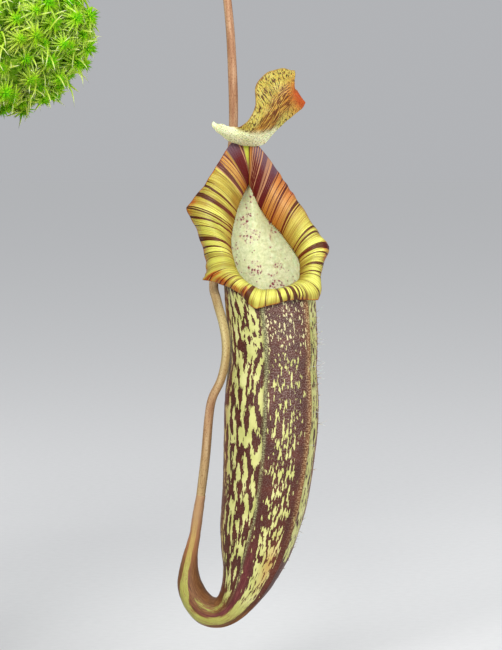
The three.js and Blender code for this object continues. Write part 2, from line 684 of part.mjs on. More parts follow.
function cupGeometry(detail) {
  const angles = cupAngles(detail);
  const axis = curveThrough(CUP_AXIS.map(([x, y, z]) => new THREE.Vector3(x, y, z)));
  const radii = curveThrough(CUP_AXIS.map((row) => new THREE.Vector3(row[3], 0, 0)));
  const ring = (place, inset) => {
    const centre = axis.getPoint(place);
    const frame = sectionFrame(axis.getTangent(place));
    const radius = radii.getPoint(place).x - inset;
    const twist = TAIL_TWIST * THREE.MathUtils.smoothstep(place, ...TWIST_SPAN);
    const ribFade = 1 - THREE.MathUtils.smoothstep(place, ...RIB_FADE_SPAN);
    return angles.map((angle) => {
      const onRib = RIB_ANGLES.includes(angle) && inset === 0;
      return sectionPoint(centre, frame, radius + (onRib ? RIB_HEIGHT * ribFade : 0), angle + twist);
    });
  };
  const neck = THREE.MathUtils.radToDeg(Math.atan2(NECK_TOP.x - MOUTH_CENTRE.x, -NECK_TOP.y)) + 360;
  const fromNeck = angles.map((angle) => Math.abs(angle - neck));
  const neckIndex = fromNeck.indexOf(Math.min(...fromNeck));
  const rim = rimPoints(angles, RIM_CLEARANCE[detail]);
  rim[neckIndex].outer.copy(NECK_TOP);
  rim[neckIndex].inner.copy(NECK_TOP).setY(NECK_TOP.y - CUP_WALL);
  const collarSteps = COLLAR_RINGS[detail];
  const collar = (edge, foot, inset) => {
    const rings = [];
    for (let i = 0; i < collarSteps; i += 1) {
      rings.push(foot.map((point, j) => {
        const top = rim[j][edge];
        const angle = degrees(angles[j]);
        const bend = new THREE.Vector3(
          COLLAR_CENTRE_X + Math.sin(angle) * (COLLAR_RADIUS - inset),
          -Math.cos(angle) * (COLLAR_RADIUS - inset),
          THREE.MathUtils.lerp(point.z, top.z, COLLAR_SHARE),
        );
        return new THREE.QuadraticBezierCurve3(top, bend, point).getPoint(i / collarSteps);
      }));
    }
    return rings;
  };
  const outerSteps = CUP_RINGS[detail];
  const outer = [];
  for (let i = 0; i <= outerSteps; i += 1) outer.push(ring(i / outerSteps, 0));
  const innerSteps = CAVITY_RINGS[detail];
  const inner = [];
  for (let i = 0; i <= innerSteps; i += 1) inner.push(ring((i / innerSteps) * CAVITY_END, CUP_WALL));
  const outside = [...collar("outer", outer[0], 0), ...outer];
  const inside = [...collar("inner", inner[0], CUP_WALL), ...inner];
  return skin([...outside.reverse(), ...inside]);
}

function lidGeometry(detail) {
  const rows = LID_ROWS[detail];
  const columns = LID_COLUMNS[detail];
  const lines = ["lower", "fold", "upper"].map((line) => (
    curveThrough(LID_STATIONS.map((station) => vector(station[line])))));
  const grid = [];
  for (let row = 0; row < rows; row += 1) {
    const across = new THREE.CatmullRomCurve3(lines.map((line) => line.getPoint(row / (rows - 1))));
    grid.push(Array.from({ length: columns }, (unused, i) => across.getPoint(i / (columns - 1))));
  }
  return plate(grid, () => LID_THICKNESS / 2);
}

function addMesh(parent, name, geometry, colour, roughness) {
  const material = new THREE.MeshStandardMaterial({ color: colour, roughness, metalness: 0 });
  const mesh = new THREE.Mesh(geometry, material);
  mesh.name = name;
  parent.add(mesh);
  return mesh;
}

// A pitcher in its own turned and sized group, hung so that its tendril passes the given point
function addPitcher(plant, pitcher) {
  const group = new THREE.Group();
  const hook = vector(TENDRIL_ROUTE[TENDRIL_ROUTE.length - 1]);
  group.rotation.z = degrees(pitcher.turn);
  group.scale.setScalar(pitcher.size);
  const turnedHook = hook.clone().multiplyScalar(pitcher.size).applyEuler(group.rotation);
  group.position.copy(around(pitcher.azimuth, pitcher.reach, pitcher.height)).sub(turnedHook);
  plant.add(group);
  group.updateMatrixWorld();
  const name = `pitcher_${pitcher.leaf}`;
  const stations = MOUTH_STATIONS.length * (pitcher.detail === "fine" ? 2 : 1);
  addMesh(group, `${name}_cup`, cupGeometry(pitcher.detail), COLOURS.cup, 0.45);
  addMesh(group, `${name}_peristome`, peristomeGeometry(stations), COLOURS.peristome, 0.25);
  addMesh(group, `${name}_lid`, lidGeometry(pitcher.detail), COLOURS.lid, 0.4);
  return group;
}

// The tendril's way from a leaf's tip: outwards as the leaf ends, then down to a hanging pitcher
function pitcherTendril(leaf, pitcher, group) {
  const spine = leafSpine(leaf);
  const tip = spine.getPoint(1);
  const outwards = spine.getTangent(1);
  const tail = vector(CUP_AXIS[CUP_AXIS.length - 1].slice(0, 3));
  const tailWay = vector(TENDRIL_ROUTE[0]).sub(tail).normalize();
  const start = tail.addScaledVector(tailWay, TAIL_GAP / pitcher.size);
  const hanging = [start, ...TENDRIL_ROUTE.map(vector)].map((point) => group.localToWorld(point));
  return curveThrough([
    ...hanging,
    around(pitcher.azimuth, pitcher.reach - 3.5, pitcher.height + (leaf.tip - pitcher.height) * 0.4),
    tip.clone().addScaledVector(outwards, 17),
    tip.clone().addScaledVector(outwards, TIP_GAP),
  ]);
}

// A tendril whose pitcher hasn't formed: it arches over and ends in a small upturned bud
function budTendril(leaf) {
  const spine = leafSpine(leaf);
  const tip = spine.getPoint(1);
  const outwards = spine.getTangent(1);
  const size = leaf.reach / FULL_LEAF_REACH;
  const place = (out, down) => tip.clone()
    .add(around(leaf.azimuth, out * size, 0))
    .setZ(tip.z - down * size);
  return curveThrough([
    tip.clone().addScaledVector(outwards, TIP_GAP),
    tip.clone().addScaledVector(outwards, 10 * size),
    place(16, 27),
    place(19, 45),
    place(15, 56),
    place(8, 54),
    place(7, 46),
  ]);
}

// A bud tendril's radius, which swells near the end and closes to a blunt tip
function budRadiusAt(along) {
  if (along > 0.97) return BUD_TIP_RADIUS;
  return THREE.MathUtils.lerp(BUD_STALK_RADIUS, BUD_RADIUS, THREE.MathUtils.smoothstep(along, 0.8, 0.95));
}

function tendrilGeometry(leaf, pitcher, group) {
  if (pitcher) {
    const curve = pitcherTendril(leaf, pitcher, group);
    const radius = TENDRIL_RADIUS * pitcher.size;
    return stalk(curve, () => radius, TENDRIL_SIDES[pitcher.detail], TENDRIL_RINGS[pitcher.detail]);
  }
  const size = Math.sqrt(leaf.reach / FULL_LEAF_REACH);
  const radiusAt = (along) => budRadiusAt(along) * size;
  return stalk(budTendril(leaf), radiusAt, TENDRIL_SIDES.plain, TENDRIL_RINGS.bud);
}

function buildPlant() {
  const plant = new THREE.Group();
  addMesh(plant, "pot", potGeometry(), COLOURS.pot, 0.6);
  addMesh(plant, "growing_medium", mediumGeometry(), COLOURS.medium, 0.95);
  addMesh(plant, "moss", mossGeometry(), COLOURS.moss, 0.9);
  addMesh(plant, "stem", stemGeometry(), COLOURS.stem, 0.6);
  LEAVES.forEach((leaf, i) => {
    const number = i + 1;
    const pitcher = PITCHERS.find((candidate) => candidate.leaf === number);
    const group = pitcher ? addPitcher(plant, pitcher) : null;
    addMesh(plant, `leaf_${number}`, leafGeometry(leaf), COLOURS.leaf, 0.45);
    // The newest leaf has no tendril yet
    if (number < LEAVES.length) {
      addMesh(plant, `tendril_${number}`, tendrilGeometry(leaf, pitcher, group), COLOURS.tendril, 0.55);
    }
  });
  return plant;
}

export default buildPlant();
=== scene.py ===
"""A tropical pitcher plant (Nepenthes spectabilis x platychila) with live moss, in a black nursery pot.

The frame holds plain solids for the pot, growing medium, moss, stem, leaves, tendrils and pitchers.
This script dresses them: smooth leaves with veins, striped and ribbed collars, blotched cups, flecked
lids, hairs, and the star-shaped heads of the moss. Lengths below are in millimetres.
"""
import math
import random
from functools import partial

import bmesh
import bpy
import numpy as np
from mathutils import Matrix, Vector


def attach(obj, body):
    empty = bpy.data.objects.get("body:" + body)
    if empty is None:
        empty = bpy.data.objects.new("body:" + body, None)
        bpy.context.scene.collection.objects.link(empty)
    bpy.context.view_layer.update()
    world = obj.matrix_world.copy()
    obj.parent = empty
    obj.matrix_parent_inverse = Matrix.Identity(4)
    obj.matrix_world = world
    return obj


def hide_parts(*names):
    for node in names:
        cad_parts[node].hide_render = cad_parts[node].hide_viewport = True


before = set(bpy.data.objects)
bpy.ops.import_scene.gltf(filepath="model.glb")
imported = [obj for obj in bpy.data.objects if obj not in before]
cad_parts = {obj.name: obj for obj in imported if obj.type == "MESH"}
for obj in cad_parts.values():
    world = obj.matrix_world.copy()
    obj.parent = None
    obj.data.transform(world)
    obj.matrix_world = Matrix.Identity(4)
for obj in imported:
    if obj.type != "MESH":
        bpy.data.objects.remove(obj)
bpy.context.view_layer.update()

MM = 0.001

# The photograph's frame, the real size of its pixel at the tall pitcher, and the camera there
PHOTO_WIDTH = 502
PHOTO_HEIGHT = 650
PIXEL = 0.38
PITCHER_FOOT_PIXEL = (271, 628)
CAMERA_DISTANCE = 1200
CAMERA_ELEVATION = 3
SENSOR = 36

# Pot
POT_HEIGHT = 235
POT_RIM_RADIUS = 95
POT_RIM_DEPTH = 14
POT_RIM_STEP = 4
POT_BASE_RADIUS = 70
POT_WALL = 2.2
POT_STEPS = 96
POT_EDGE_ROUNDING = 0.4
DRAIN_COUNT = 8
DRAIN_RADIUS = 5.5
DRAIN_RING_RADIUS = 50

# Stem: points up its middle, and its radius below and at the top
STEM_LINE = [
    (0, 0, 180),
    (0, 0, 245),
    (0, 0, 291),
    (0.4, -0.3, 330),
    (-0.4, 0.3, 360),
    (-0.2, 0.2, 384),
]
STEM_TAPER_FROM = 290
STEM_RADIUS = 5.6
STEM_TIP_RADIUS = 2.6
# Sides and rows of the stem's grid, and the ring-shaped scar below each leaf: how far below it, its
# half width and its height
STEM_GRID = (24, 220)
LEAF_SCAR = (3, 2.2, 0.7)

# Leaves: the room between their feet and the stem, their thickness, the reach of a full-size one,
# and the column width and rows of their grids
LEAF_SEAT = 1.05
LEAF_THICKNESS = 0.9
FULL_LEAF_REACH = 150
LEAF_COLUMN = 1.8
LEAF_ROWS = 56
SMALL_LEAF_ROWS = 36
SMALL_LEAF_WIDTH = 20
# From the lowest up the stem: bearing, height of the foot, reach, how far it arches above its foot,
# height of the tip, width, and the phase of its edge's waves
LEAVES = [
    dict(azimuth=58.5, height=300, reach=142, arch=30, tip=306, width=40, wave=0.4),
    dict(azimuth=-79, height=309, reach=148, arch=46, tip=318, width=44, wave=2.1),
    dict(azimuth=143.5, height=318, reach=146, arch=50, tip=316, width=46, wave=3.3),
    dict(azimuth=5.8, height=328, reach=153, arch=50, tip=343, width=47, wave=1.2),
    dict(azimuth=-131.5, height=338, reach=140, arch=58, tip=362, width=45, wave=5.0),
    dict(azimuth=91, height=347, reach=128, arch=62, tip=385, width=43, wave=4.1),
    dict(azimuth=-46.5, height=356, reach=98, arch=62, tip=409, width=36, wave=0.9),
    dict(azimuth=176, height=364, reach=78, arch=42, tip=424, width=29, wave=2.6),
    dict(azimuth=38.5, height=372, reach=34, arch=44, tip=432, width=17, wave=1.7),
]

# Pitchers: the leaf that carries each, where its tendril passes the lid, its turn and size, and how
# fine its mesh is
PITCHERS = [
    dict(leaf=2, reach=180, azimuth=-79, height=252, turn=-70, size=0.82, fineness=0.5),
    dict(leaf=3, reach=176, azimuth=143.5, height=240, turn=150, size=0.72, fineness=0.5),
    dict(leaf=4, reach=186.6, azimuth=6.46, height=266.6, turn=0, size=1, fineness=1),
]

# In a pitcher's own frame: +X to the right and -Y towards whoever looks into the mouth.
# Middle of the cup and its radius, from below the mouth, round the curl, to the tendril
CUP_AXIS = [
    (0.6, 0, 100, 16.7),
    (0.2, 0, 84, 18),
    (-0.6, 0.3, 67, 17.4),
    (-2.3, 1.1, 50, 16.4),
    (-4.5, 2.4, 36.8, 15),
    (-6.2, 3.8, 28, 13.2),
    (-8.5, 5.4, 19.2, 10.4),
    (-12, 7.2, 11.4, 7.9),
    (-16, 8.6, 6.1, 6.3),
    (-20.2, 9.7, 3.9, 5.9),
    (-24.9, 10.7, 4.8, 5.8),
    (-28.7, 11.5, 8.6, 5.5),
    (-31, 11.9, 13.6, 4.9),
    (-31.6, 12, 18.5, 4),
    (-31, 11.6, 25.4, 2.9),
    (-29.2, 10.8, 33.4, 2.1),
    (-28, 9.8, 41.5, 1.9),
    (-26.75, 8.8, 50, 1.74),
]
CUP_WALL = 1.2
CUP_GIRTH = 110
# The hollow ends at this place on the axis
CAVITY_END = 0.39
# From the top of the axis up to the collar the wall is this long. At this share of its height it
# bulges towards a circle with this middle and radius
WALL_ABOVE_AXIS = 42
BULGE_SHARE = 0.45
BULGE_CENTRE_X = 0.7
BULGE_RADIUS = 17.9
# Columns and rows of a full-size cup's grid, and the share of the rows that lie inside
CUP_GRID = (144, 380)
INSIDE_SHARE = 0.28

# Two ribs frame the front panel. Angles are in degrees to the right of the front. The left rib
# leans further left as it runs down, given by place on the axis and angle
LEFT_RIB = [
    (0.1, -8),
    (0.2, -10),
    (0.25, -14),
    (0.3, -17),
    (0.35, -19.5),
    (0.4, -23.5),
    (0.45, -28),
    (0.5, -33),
]
RIGHT_RIB_ANGLE = 52
RIGHT_RIB_LEAN = 6
RIB_HEIGHT = 1.1
# The front of the tail turns by this angle between these places
TAIL_TWIST = 48
TWIST_SPAN = (0.3, 0.76)

# The tail's yellow band, by place on the axis and the angles of its left and right side
YELLOW_BAND = [
    (0.3, 2, 33),
    (0.4, -4, 34),
    (0.45, -9, 30),
    (0.5, -13, 22),
    (0.54, -16, 24),
    (0.58, -8, 36),
    (0.62, -7, 42),
    (0.65, -12, 46),
    (0.68, -33, 24),
    (0.71, -40, 10),
    (0.75, -45, -1),
    (0.78, -48, -10),
    (0.82, -60, -15),
    (0.9, -62, -4),
    (1, -62, 0),
]
# The crimson band on its left, by place, angle of its middle, and half width
CRIMSON_BAND = [
    (0.2, -3, 4),
    (0.3, -8, 6),
    (0.35, -10, 9),
    (0.4, -13, 9),
    (0.45, -17, 9),
    (0.5, -21, 9),
    (0.55, -19, 5),
    (0.62, -16, 5),
    (0.66, -25, 4),
    (0.7, -42, 4),
    (0.76, -52, 4),
    (0.8, -60, 0.4),
]

# Mouth: inner lip by x and z in a tilted plane, and flared edge by x, y and z, at stations from
# the neck at the back, down the left side, along the front and up the right side
MOUTH_TILT = 55
MOUTH_TURN = 12
MOUTH_CENTRE = (-1.9, 0, 147.6)
MOUTH_STATIONS = [
    (-8.2, 169.2, -9.5, 13.4, 184.6),
    (-8.7, 168.4, -14.6, 11.8, 184.2),
    (-10.3, 165.3, -19.8, 9, 176.2),
    (-12.9, 159.2, -24.7, 6, 169),
    (-14.8, 150.5, -31.4, 2.5, 159.3),
    (-15, 145.2, -28.2, 0, 150.9),
    (-14.1, 140.6, -25.1, -3, 141.4),
    (-13.5, 138.6, -24.6, -4.8, 136.2),
    (-12.7, 136.8, -25.3, -6.5, 133.4),
    (-11.4, 134.5, -20.9, -11.5, 131.6),
    (-8.4, 131.4, -13.1, -16.5, 128.3),
    (-4.9, 129.8, -7.6, -19, 123.1),
    (-1.5, 129.2, -1.9, -19.8, 123.1),
    (4.8, 130, 7.4, -18.2, 125.3),
    (10.4, 132.8, 17.7, -10.5, 126.7),
    (11.4, 136.5, 18.9, -5.5, 136),
    (11.1, 140.2, 21.7, -1, 144.8),
    (9, 143.9, 17.4, 2, 150.9),
    (4, 150.7, 10.2, 6, 162),
    (-0.8, 155.4, 5.7, 8, 168),
    (-4.2, 160, 1.1, 9.8, 174.4),
    (-7.4, 166.8, -6.5, 11.8, 184.2),
]
# The flared edge's sharp corners: station, half width in stations, and how far each stands out
EDGE_CORNERS = [(4, 0.35, 0.8), (8.1, 0.22, 1.3), (11.4, 0.4, 0.7), (13.9, 0.3, 1.2), (16, 0.3, 0.7)]
# How far the flared edge stands past its line: station and millimetres
EDGE_REACH = [
    (0, 0.3),
    (2, 0.6),
    (3.6, 0.6),
    (5, 0.9),
    (7, 1),
    (8.5, 0.3),
    (11, 0.2),
    (13.4, 0.3),
    (14.2, 1),
    (15.5, 1.2),
    (16.3, 0.6),
    (17, 1.2),
    (19, 1.5),
    (20.5, 1.1),
    (21.5, 0.3),
]
COLLAR_THICKNESS = 1.3
COLLAR_LENGTH = 170
COLLAR_WIDTH = 14
# How high the collar arches between its lip and edge, less and less between these heights
COLLAR_CROWN = 3.2
COLLAR_CROWN_AT_NECK = 1
CROWN_FADES = (160, 182)
# How far its lip and its edge roll down, and the heights between which the edge stops doing so
LIP_ROLL = 1.6
EDGE_ROLL = 1.1
EDGE_ROLL_FADES = (165, 182)
# Fine ribs across it, which end as teeth inside the mouth
RIB_DEPTH = 0.06
TOOTH_LENGTH = 0.3
COLUMNS_PER_RIB = 8
# Columns and rows of a collar's grid, by the pitcher's fineness
COLLAR_GRIDS = {1: (1440, 32), 0.5: (768, 20)}
# The cup's wall ends under the collar, at this share across it and with this gap
RIM_PLACE = 0.27
RIM_GAP = 0.4
# Where the wall reaches the neck, and its half width there in degrees
NECK_TOP = (-8.8, 16.5, 184.3)
NECK_HALF_WIDTH = 6.5

# Lid: lower edge, fold and upper edge, from its left tip to its right edge
LID_STATIONS = [
    ((-22.2, 3.5, 190), (-22.6, 2.8, 191.3), (-21.9, 2.5, 192.6)),
    ((-18.4, 5.6, 186.8), (-18.6, 2.6, 188.9), (-18.5, 1.6, 191)),
    ((-13.6, 8.5, 184.1), (-13.8, 3, 187), (-13.2, 0.4, 190.4)),
    ((-8.4, 11, 183.2), (-8.9, 3.6, 186.8), (-9.3, -0.6, 191.9)),
    ((-2.9, 9.3, 183.6), (-3.6, 2.4, 189.6), (-5.9, -1.2, 198.3)),
    ((0.6, 7.2, 187.5), (0.6, 0.4, 194.6), (-6.1, 0, 205)),
    ((4.5, 5.2, 191.2), (3.6, -1, 199.6), (-2.5, 1.6, 210.2)),
    ((8.4, 3.9, 194.6), (6.4, -1.2, 202.8), (4, 3, 212.3)),
    ((10.8, 3.1, 196.4), (8.2, -0.6, 204), (8.9, 3.6, 211.6)),
    ((12.2, 2.7, 197.8), (10, 0.6, 202.4), (6.2, 3.8, 207.6)),
    ((13, 2.4, 199.3), (11.7, 1.8, 201), (10, 3, 204)),
]
LID_THICKNESS = 0.9
LID_LENGTH = 48
LID_WIDTH = 22
LID_GRID = (150, 96)
# Where the cream lower part ends: share along the lid, and across it
LID_CREAM_EDGE = [(0.12, 1.2), (0.25, 0.85), (0.36, 0.5), (0.44, 0.34), (0.52, 0.14), (0.6, -0.15)]

# Hairs on the cup's right flank: every third is long, and the rest are short down. Their angles are
# degrees from the front. Real ones are about half as thick, which is too fine to show
HAIR_COUNT = 210
HAIR_ANGLES = (50, 150)
HAIR_WIDTH = 0.2
LONG_HAIR = (2.5, 5.5)
SHORT_HAIR = (0.8, 2)

# Tendril past its pitcher, from the tail to where it passes the lid
TENDRIL_ROUTE = [
    (-25.1, 6.6, 64),
    (-23.7, 2.6, 79.5),
    (-22.2, -1.2, 87.5),
    (-19, -4.8, 94.5),
    (-17.3, -7.4, 102),
    (-17.1, -8.1, 109),
    (-18.2, -6.5, 116),
    (-20.6, 1.4, 124.5),
    (-21.8, 8.4, 131),
    (-19.9, 17, 148),
    (-17, 20.6, 166),
    (-14.8, 22, 184),
    (-14.4, 22.2, 200),
    (-15.2, 21.8, 222),
    (-16.7, 21, 238.6),
]
TENDRIL_RADIUS = 1.7
# A closed bud's tendril on a full-size leaf: how far out from the leaf's tip and how far down
BUD_ROUTE = [(16, 27), (19, 45), (15, 56), (8, 54), (7, 46)]
BUD_RADIUS = 2.9
BUD_STALK_RADIUS = 1.1
TENDRIL_SIDES = 20
PITCHER_TENDRIL_ROWS = 400
BUD_TENDRIL_ROWS = 120

# Stripes of a collar: stations at the lip, halfway and at the edge, half width and strength
STRIPES = [
    (0.12, 0.45, 0.58, 0.04, 0.9),
    (1.5, 1.56, 1.62, 0.025, 0.7),
    (1.62, 1.7, 1.72, 0.015, 0.5),
    (1.85, 1.88, 1.85, 0.02, 0.5),
    (2.17, 2.15, 2.03, 0.11, 1),
    (2.42, 2.4, 2.3, 0.015, 0.5),
    (2.97, 2.99, 2.9, 0.018, 0.5),
    (3.1, 3.19, 3.07, 0.035, 0.95),
    (3.38, 3.5, 3.42, 0.06, 1),
    (3.74, 3.9, 3.92, 0.02, 0.8),
    (3.84, 3.99, 4, 0.03, 0.95),
    (4.02, 4.28, 4.42, 0.05, 1),
    (4.45, 4.68, 4.82, 0.02, 0.75),
    (4.7, 4.9, 5, 0.014, 0.4),
    (5, 5.15, 5.2, 0.014, 0.5),
    (5.08, 5.28, 5.35, 0.075, 1),
    (5.52, 5.63, 5.68, 0.03, 0.9),
    (5.8, 5.93, 5.95, 0.025, 0.7),
    (6.1, 6.25, 6.3, 0.018, 0.5),
    (8.05, 8.2, 8.5, 0.03, 0.9),
    (9.1, 9.12, 9.15, 0.02, 0.6),
    (9.32, 9.33, 9.37, 0.025, 0.8),
    (9.65, 9.66, 9.65, 0.02, 0.7),
    (10.35, 10.25, 10.2, 0.02, 0.6),
    (10.7, 10.6, 10.57, 0.13, 1),
    (11.93, 11.88, 11.95, 0.022, 0.8),
    (12.5, 12.5, 12.67, 0.045, 1),
    (12.83, 12.84, 12.95, 0.045, 1),
    (13.08, 13.1, 13.2, 0.06, 0.8),
    (13.25, 13.28, 13.3, 0.018, 0.7),
    (13.4, 13.4, 13.42, 0.018, 0.7),
    (13.5, 13.5, 13.55, 0.015, 0.5),
    (14, 14.02, 14.1, 0.02, 0.7),
    (14.45, 14.55, 14.67, 0.016, 0.6),
    (14.6, 14.7, 14.87, 0.025, 0.85),
    (15, 15.05, 15.1, 0.014, 0.6),
    (15.1, 15.12, 15.22, 0.045, 1),
    (15.55, 15.48, 15.4, 0.015, 0.5),
    (15.85, 15.75, 15.58, 0.03, 0.85),
    (16.25, 16.1, 15.95, 0.13, 0.85),
    (16.4, 16.28, 16.1, 0.03, 0.8),
    (16.9, 16.97, 16.87, 0.04, 1),
    (17.08, 17.16, 17.12, 0.03, 0.85),
    (17.86, 17.88, 17.85, 0.02, 0.6),
    (17.98, 18.01, 17.97, 0.055, 1),
    (18.42, 18.42, 18.4, 0.018, 0.6),
    (18.8, 18.87, 18.93, 0.055, 1),
    (18.98, 19.03, 19.07, 0.02, 0.8),
    (19.28, 19.32, 19.35, 0.025, 0.8),
    (19.65, 19.66, 19.7, 0.025, 0.8),
]
# Thin pale stripes beside the dark ones and on the wine ground, given in the same way
PALE_LINES = [
    (0.3, 0.55, 0.68, 0.035, 0.9),
    (2.28, 2.27, 2.16, 0.03, 0.6),
    (20.2, 20.14, 20.17, 0.035, 1),
    (20.3, 20.27, 20.28, 0.06, 0.5),
    (20.72, 20.57, 20.55, 0.018, 0.8),
    (20.85, 20.68, 20.65, 0.012, 0.6),
    (20.95, 20.78, 20.74, 0.012, 0.7),
    (21.05, 20.9, 20.86, 0.015, 0.7),
    (21.12, 21.02, 21, 0.03, 0.9),
]
# Where the collar's flared edge is scorched orange: station, half width, strength, and where across
# it starts
SCORCHED = [
    (3.75, 0.25, 0.6, 0.85),
    (4.2, 0.2, 0.5, 0.88),
    (5.6, 0.4, 0.5, 0.88),
    (6.7, 0.6, 0.6, 0.93),
    (8.35, 0.3, 0.8, 0.6),
    (9.1, 0.5, 0.7, 0.74),
    (9.8, 0.35, 0.65, 0.78),
    (10.3, 0.2, 1, 0.6),
    (12, 1, 0.5, 0.95),
    (13.4, 0.2, 0.6, 0.9),
    (15.5, 0.2, 0.8, 0.8),
    (16, 0.25, 1, 0.72),
    (16.6, 0.3, 0.6, 0.88),
    (17.5, 0.35, 0.6, 0.86),
    (18.5, 0.3, 0.7, 0.8),
]
# Where fine brown lines crowd between the stripes: station, half width and strength
LINED = [
    (1.6, 0.7, 1),
    (3.6, 1, 0.9),
    (5, 1, 0.8),
    (9.3, 1.1, 1),
    (13.4, 0.6, 0.9),
    (15.6, 1, 0.7),
    (19.8, 1.9, 1),
]
# Where the collar is gold instead of lemon: station, half width, strength, and where across it
# starts and ends
GOLDEN = [
    (2.7, 0.6, 0.45, -0.3, 1.3),
    (2.8, 0.5, 0.9, -0.3, 0.3),
    (3.72, 0.2, 0.6, 0.6, 1.3),
    (4.3, 0.35, 0.4, 0.7, 1.3),
    (9, 0.7, 0.5, 0.5, 1.3),
]

# Moss: how far apart its star-shaped heads stand. Those past a plane, on the side that the
# photograph shows, stand closer and have fine branches
HEAD_SPACING = 7.6
FINE_HEAD_SPACING = 6.7
FINE_HEADS_FROM_X = 90
FINE_HEADS_FACE_BELOW = 0.5
HEAD_TRIES = 26000
# Heads stand this far past the pot's rim or above it, and from the stem. None faces down near the
# pot's wall. They differ in size, and stand up to this far off the cushion
HEADS_PAST_RIM = 3.5
HEADS_ABOVE_POT = 9
HEADS_OFF_STEM = 3.5
FACING_DOWN = -0.55
NEAR_POT_WALL = 7
HEAD_SIZES = (0.7, 1.12)
HEAD_LIFT = 4.5
# A head's whorls: branches, their rise in radians, length, width, droop, height of their foot,
# cuts along each, and values of the outward mark at their foot and tip
PLAIN_WHORLS = [
    (6, 0.05, 8.5, 1.9, 0.5, 0, 1, (0.25, 1)),
    (6, 0.9, 3.8, 2, 0.1, 0.4, 0, (0, 0.55)),
]
FINE_WHORLS = [
    (14, -0.35, 9, 1.3, 0.6, -1, 3, (0.3, 0.95)),
    (14, 0.1, 7, 1.3, 0.7, 0, 3, (0.25, 0.85)),
    (12, 0.45, 4.6, 1.15, 0.4, 0.5, 1, (0.12, 0.5)),
    (16, 0.75, 4, 1.35, 0.15, 0.7, 0, (0, 0.25)),
    (12, 1.15, 3.5, 1.3, 0, 0.9, 0, (0, 0.12)),
]
# Branches with this many cuts carry small leaves, this many to a millimetre
LEAFY_CUTS = 3
LEAVES_PER_MM = 1.2
LOOSE_BRANCHES_PER_HEAD = 5
LOOSE_BRANCH_LENGTHS = (4, 8.5)

# The studio's even light, the share of light that its paper returns, and its soft lights: offset
# from what the camera looks at, width and height, and power in watts
SKY_COLOUR = "e8eaee"
SKY_STRENGTH = 0.55
PAPER_WHITENESS = 0.61
FLOOR_RADIUS = 30000
LIGHTS = {
    "key_softbox": ((-1040, -3800, 1680), (1520, 1520), 152),
    "fill_softbox": ((2800, -3040, 960), (2800, 2300), 56),
    "top_softbox": ((-60, 160, 1000), (900, 700), 4.5),
}


# Curves and surfaces


def smoothstep(value, low, high):
    share = np.clip((value - low) / (high - low), 0, 1)
    return share * share * (3 - 2 * share)


def faded(value, low, high):
    """1 up to low, and 0 from high on."""
    return 1 - smoothstep(value, low, high)


def within(value, low, high, soft):
    """1 between low and high, with soft ends."""
    return smoothstep(value, low - soft, low + soft) * faded(value, high - soft, high + soft)


def bump(value, middle, half_width):
    """A smooth bump of height 1."""
    return np.exp(-(((value - middle) / half_width) ** 2))


def bumps(value, rows):
    """The highest of several bumps, each with its middle, half width and height."""
    return np.max([height * bump(value, middle, half) for middle, half, height in rows], axis=0)


def catmull_rom(a, b, c, d, t):
    square = 2 * a - 5 * b + 4 * c - d
    cube = 3 * b - a - 3 * c + d
    return 0.5 * (2 * b + (c - a) * t + square * t**2 + cube * t**3)


def smooth_line(points, closed=False):
    """A curve through points, as a function of the share of its spans."""
    rows = np.array(points, float)
    count = len(rows)
    if not closed:
        rows = np.vstack([2 * rows[0] - rows[1], rows, 2 * rows[-1] - rows[-2]])

    def at(share):
        share = np.asarray(share, float)
        if closed:
            spot = (share % 1) * count
            first = np.floor(spot).astype(int) % count
            corners = [rows[(first + step) % count] for step in (-1, 0, 1, 2)]
            return catmull_rom(*corners, (spot - np.floor(spot))[..., None])
        spot = np.clip(share, 0, 1) * (count - 1)
        first = np.minimum(np.floor(spot).astype(int), count - 2)
        return catmull_rom(*(rows[first + step] for step in range(4)), (spot - first)[..., None])

    return at


def travelled(points):
    """How far along a row of points each one lies."""
    return np.concatenate([[0], np.cumsum(np.linalg.norm(np.diff(points, axis=0), axis=1))])


def even_line(line, samples=600):
    """The same curve by the share of its length, and its length."""
    shares = np.linspace(0, 1, samples)
    distance = travelled(line(shares))
    return lambda share: line(np.interp(share, distance / distance[-1], shares)), distance[-1]


def unit(vectors):
    return vectors / np.maximum(np.linalg.norm(vectors, axis=-1, keepdims=True), 1e-12)


def around(azimuth, reach, height):
    """A point by its bearing in degrees from +X, its distance from the Z axis and its height."""
    angle = math.radians(azimuth)
    return np.array([reach * math.cos(angle), reach * math.sin(angle), height])


def waves(points, size, seed):
    """A smooth unevenness between about -1 and 1, whose hills are about size apart."""
    chance = np.random.default_rng(seed)
    total = 0
    for _ in range(7):
        way = unit(chance.normal(size=3)) * (2 * math.pi / size) * chance.uniform(0.7, 1.5)
        total = total + np.sin(points @ way + chance.uniform(0, 2 * math.pi))
    return total / 3


def edge_fade(share, sharpness):
    """1 inside a sheet and 0 at its edges, falling off as a round edge does."""
    return np.sqrt(np.maximum(0, 1 - np.abs(2 * share - 1) ** sharpness))


# Meshes


def new_object(name, mesh, materials, replaced=()):
    """A piece of the plant: it rides on the frame's root and stands for the nodes it replaces."""
    piece = bpy.data.objects.new(name, mesh)
    bpy.context.scene.collection.objects.link(piece)
    for material in materials:
        mesh.materials.append(material)
    mesh.shade_smooth()
    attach(piece, "root")
    if replaced:
        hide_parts(*replaced)
    return piece


def new_mesh(name, form):
    mesh = bpy.data.meshes.new(name)
    form.to_mesh(mesh)
    form.free()
    return mesh


def numbers(data, field, width):
    """One field of a mesh's data, as an array with a row for each item."""
    flat = np.empty(len(data) * width, np.float32)
    data.foreach_get(field, flat)
    return flat.reshape(-1, width).astype(float)


def set_numbers(data, field, values):
    data.foreach_set(field, np.asarray(values, np.float32).ravel())


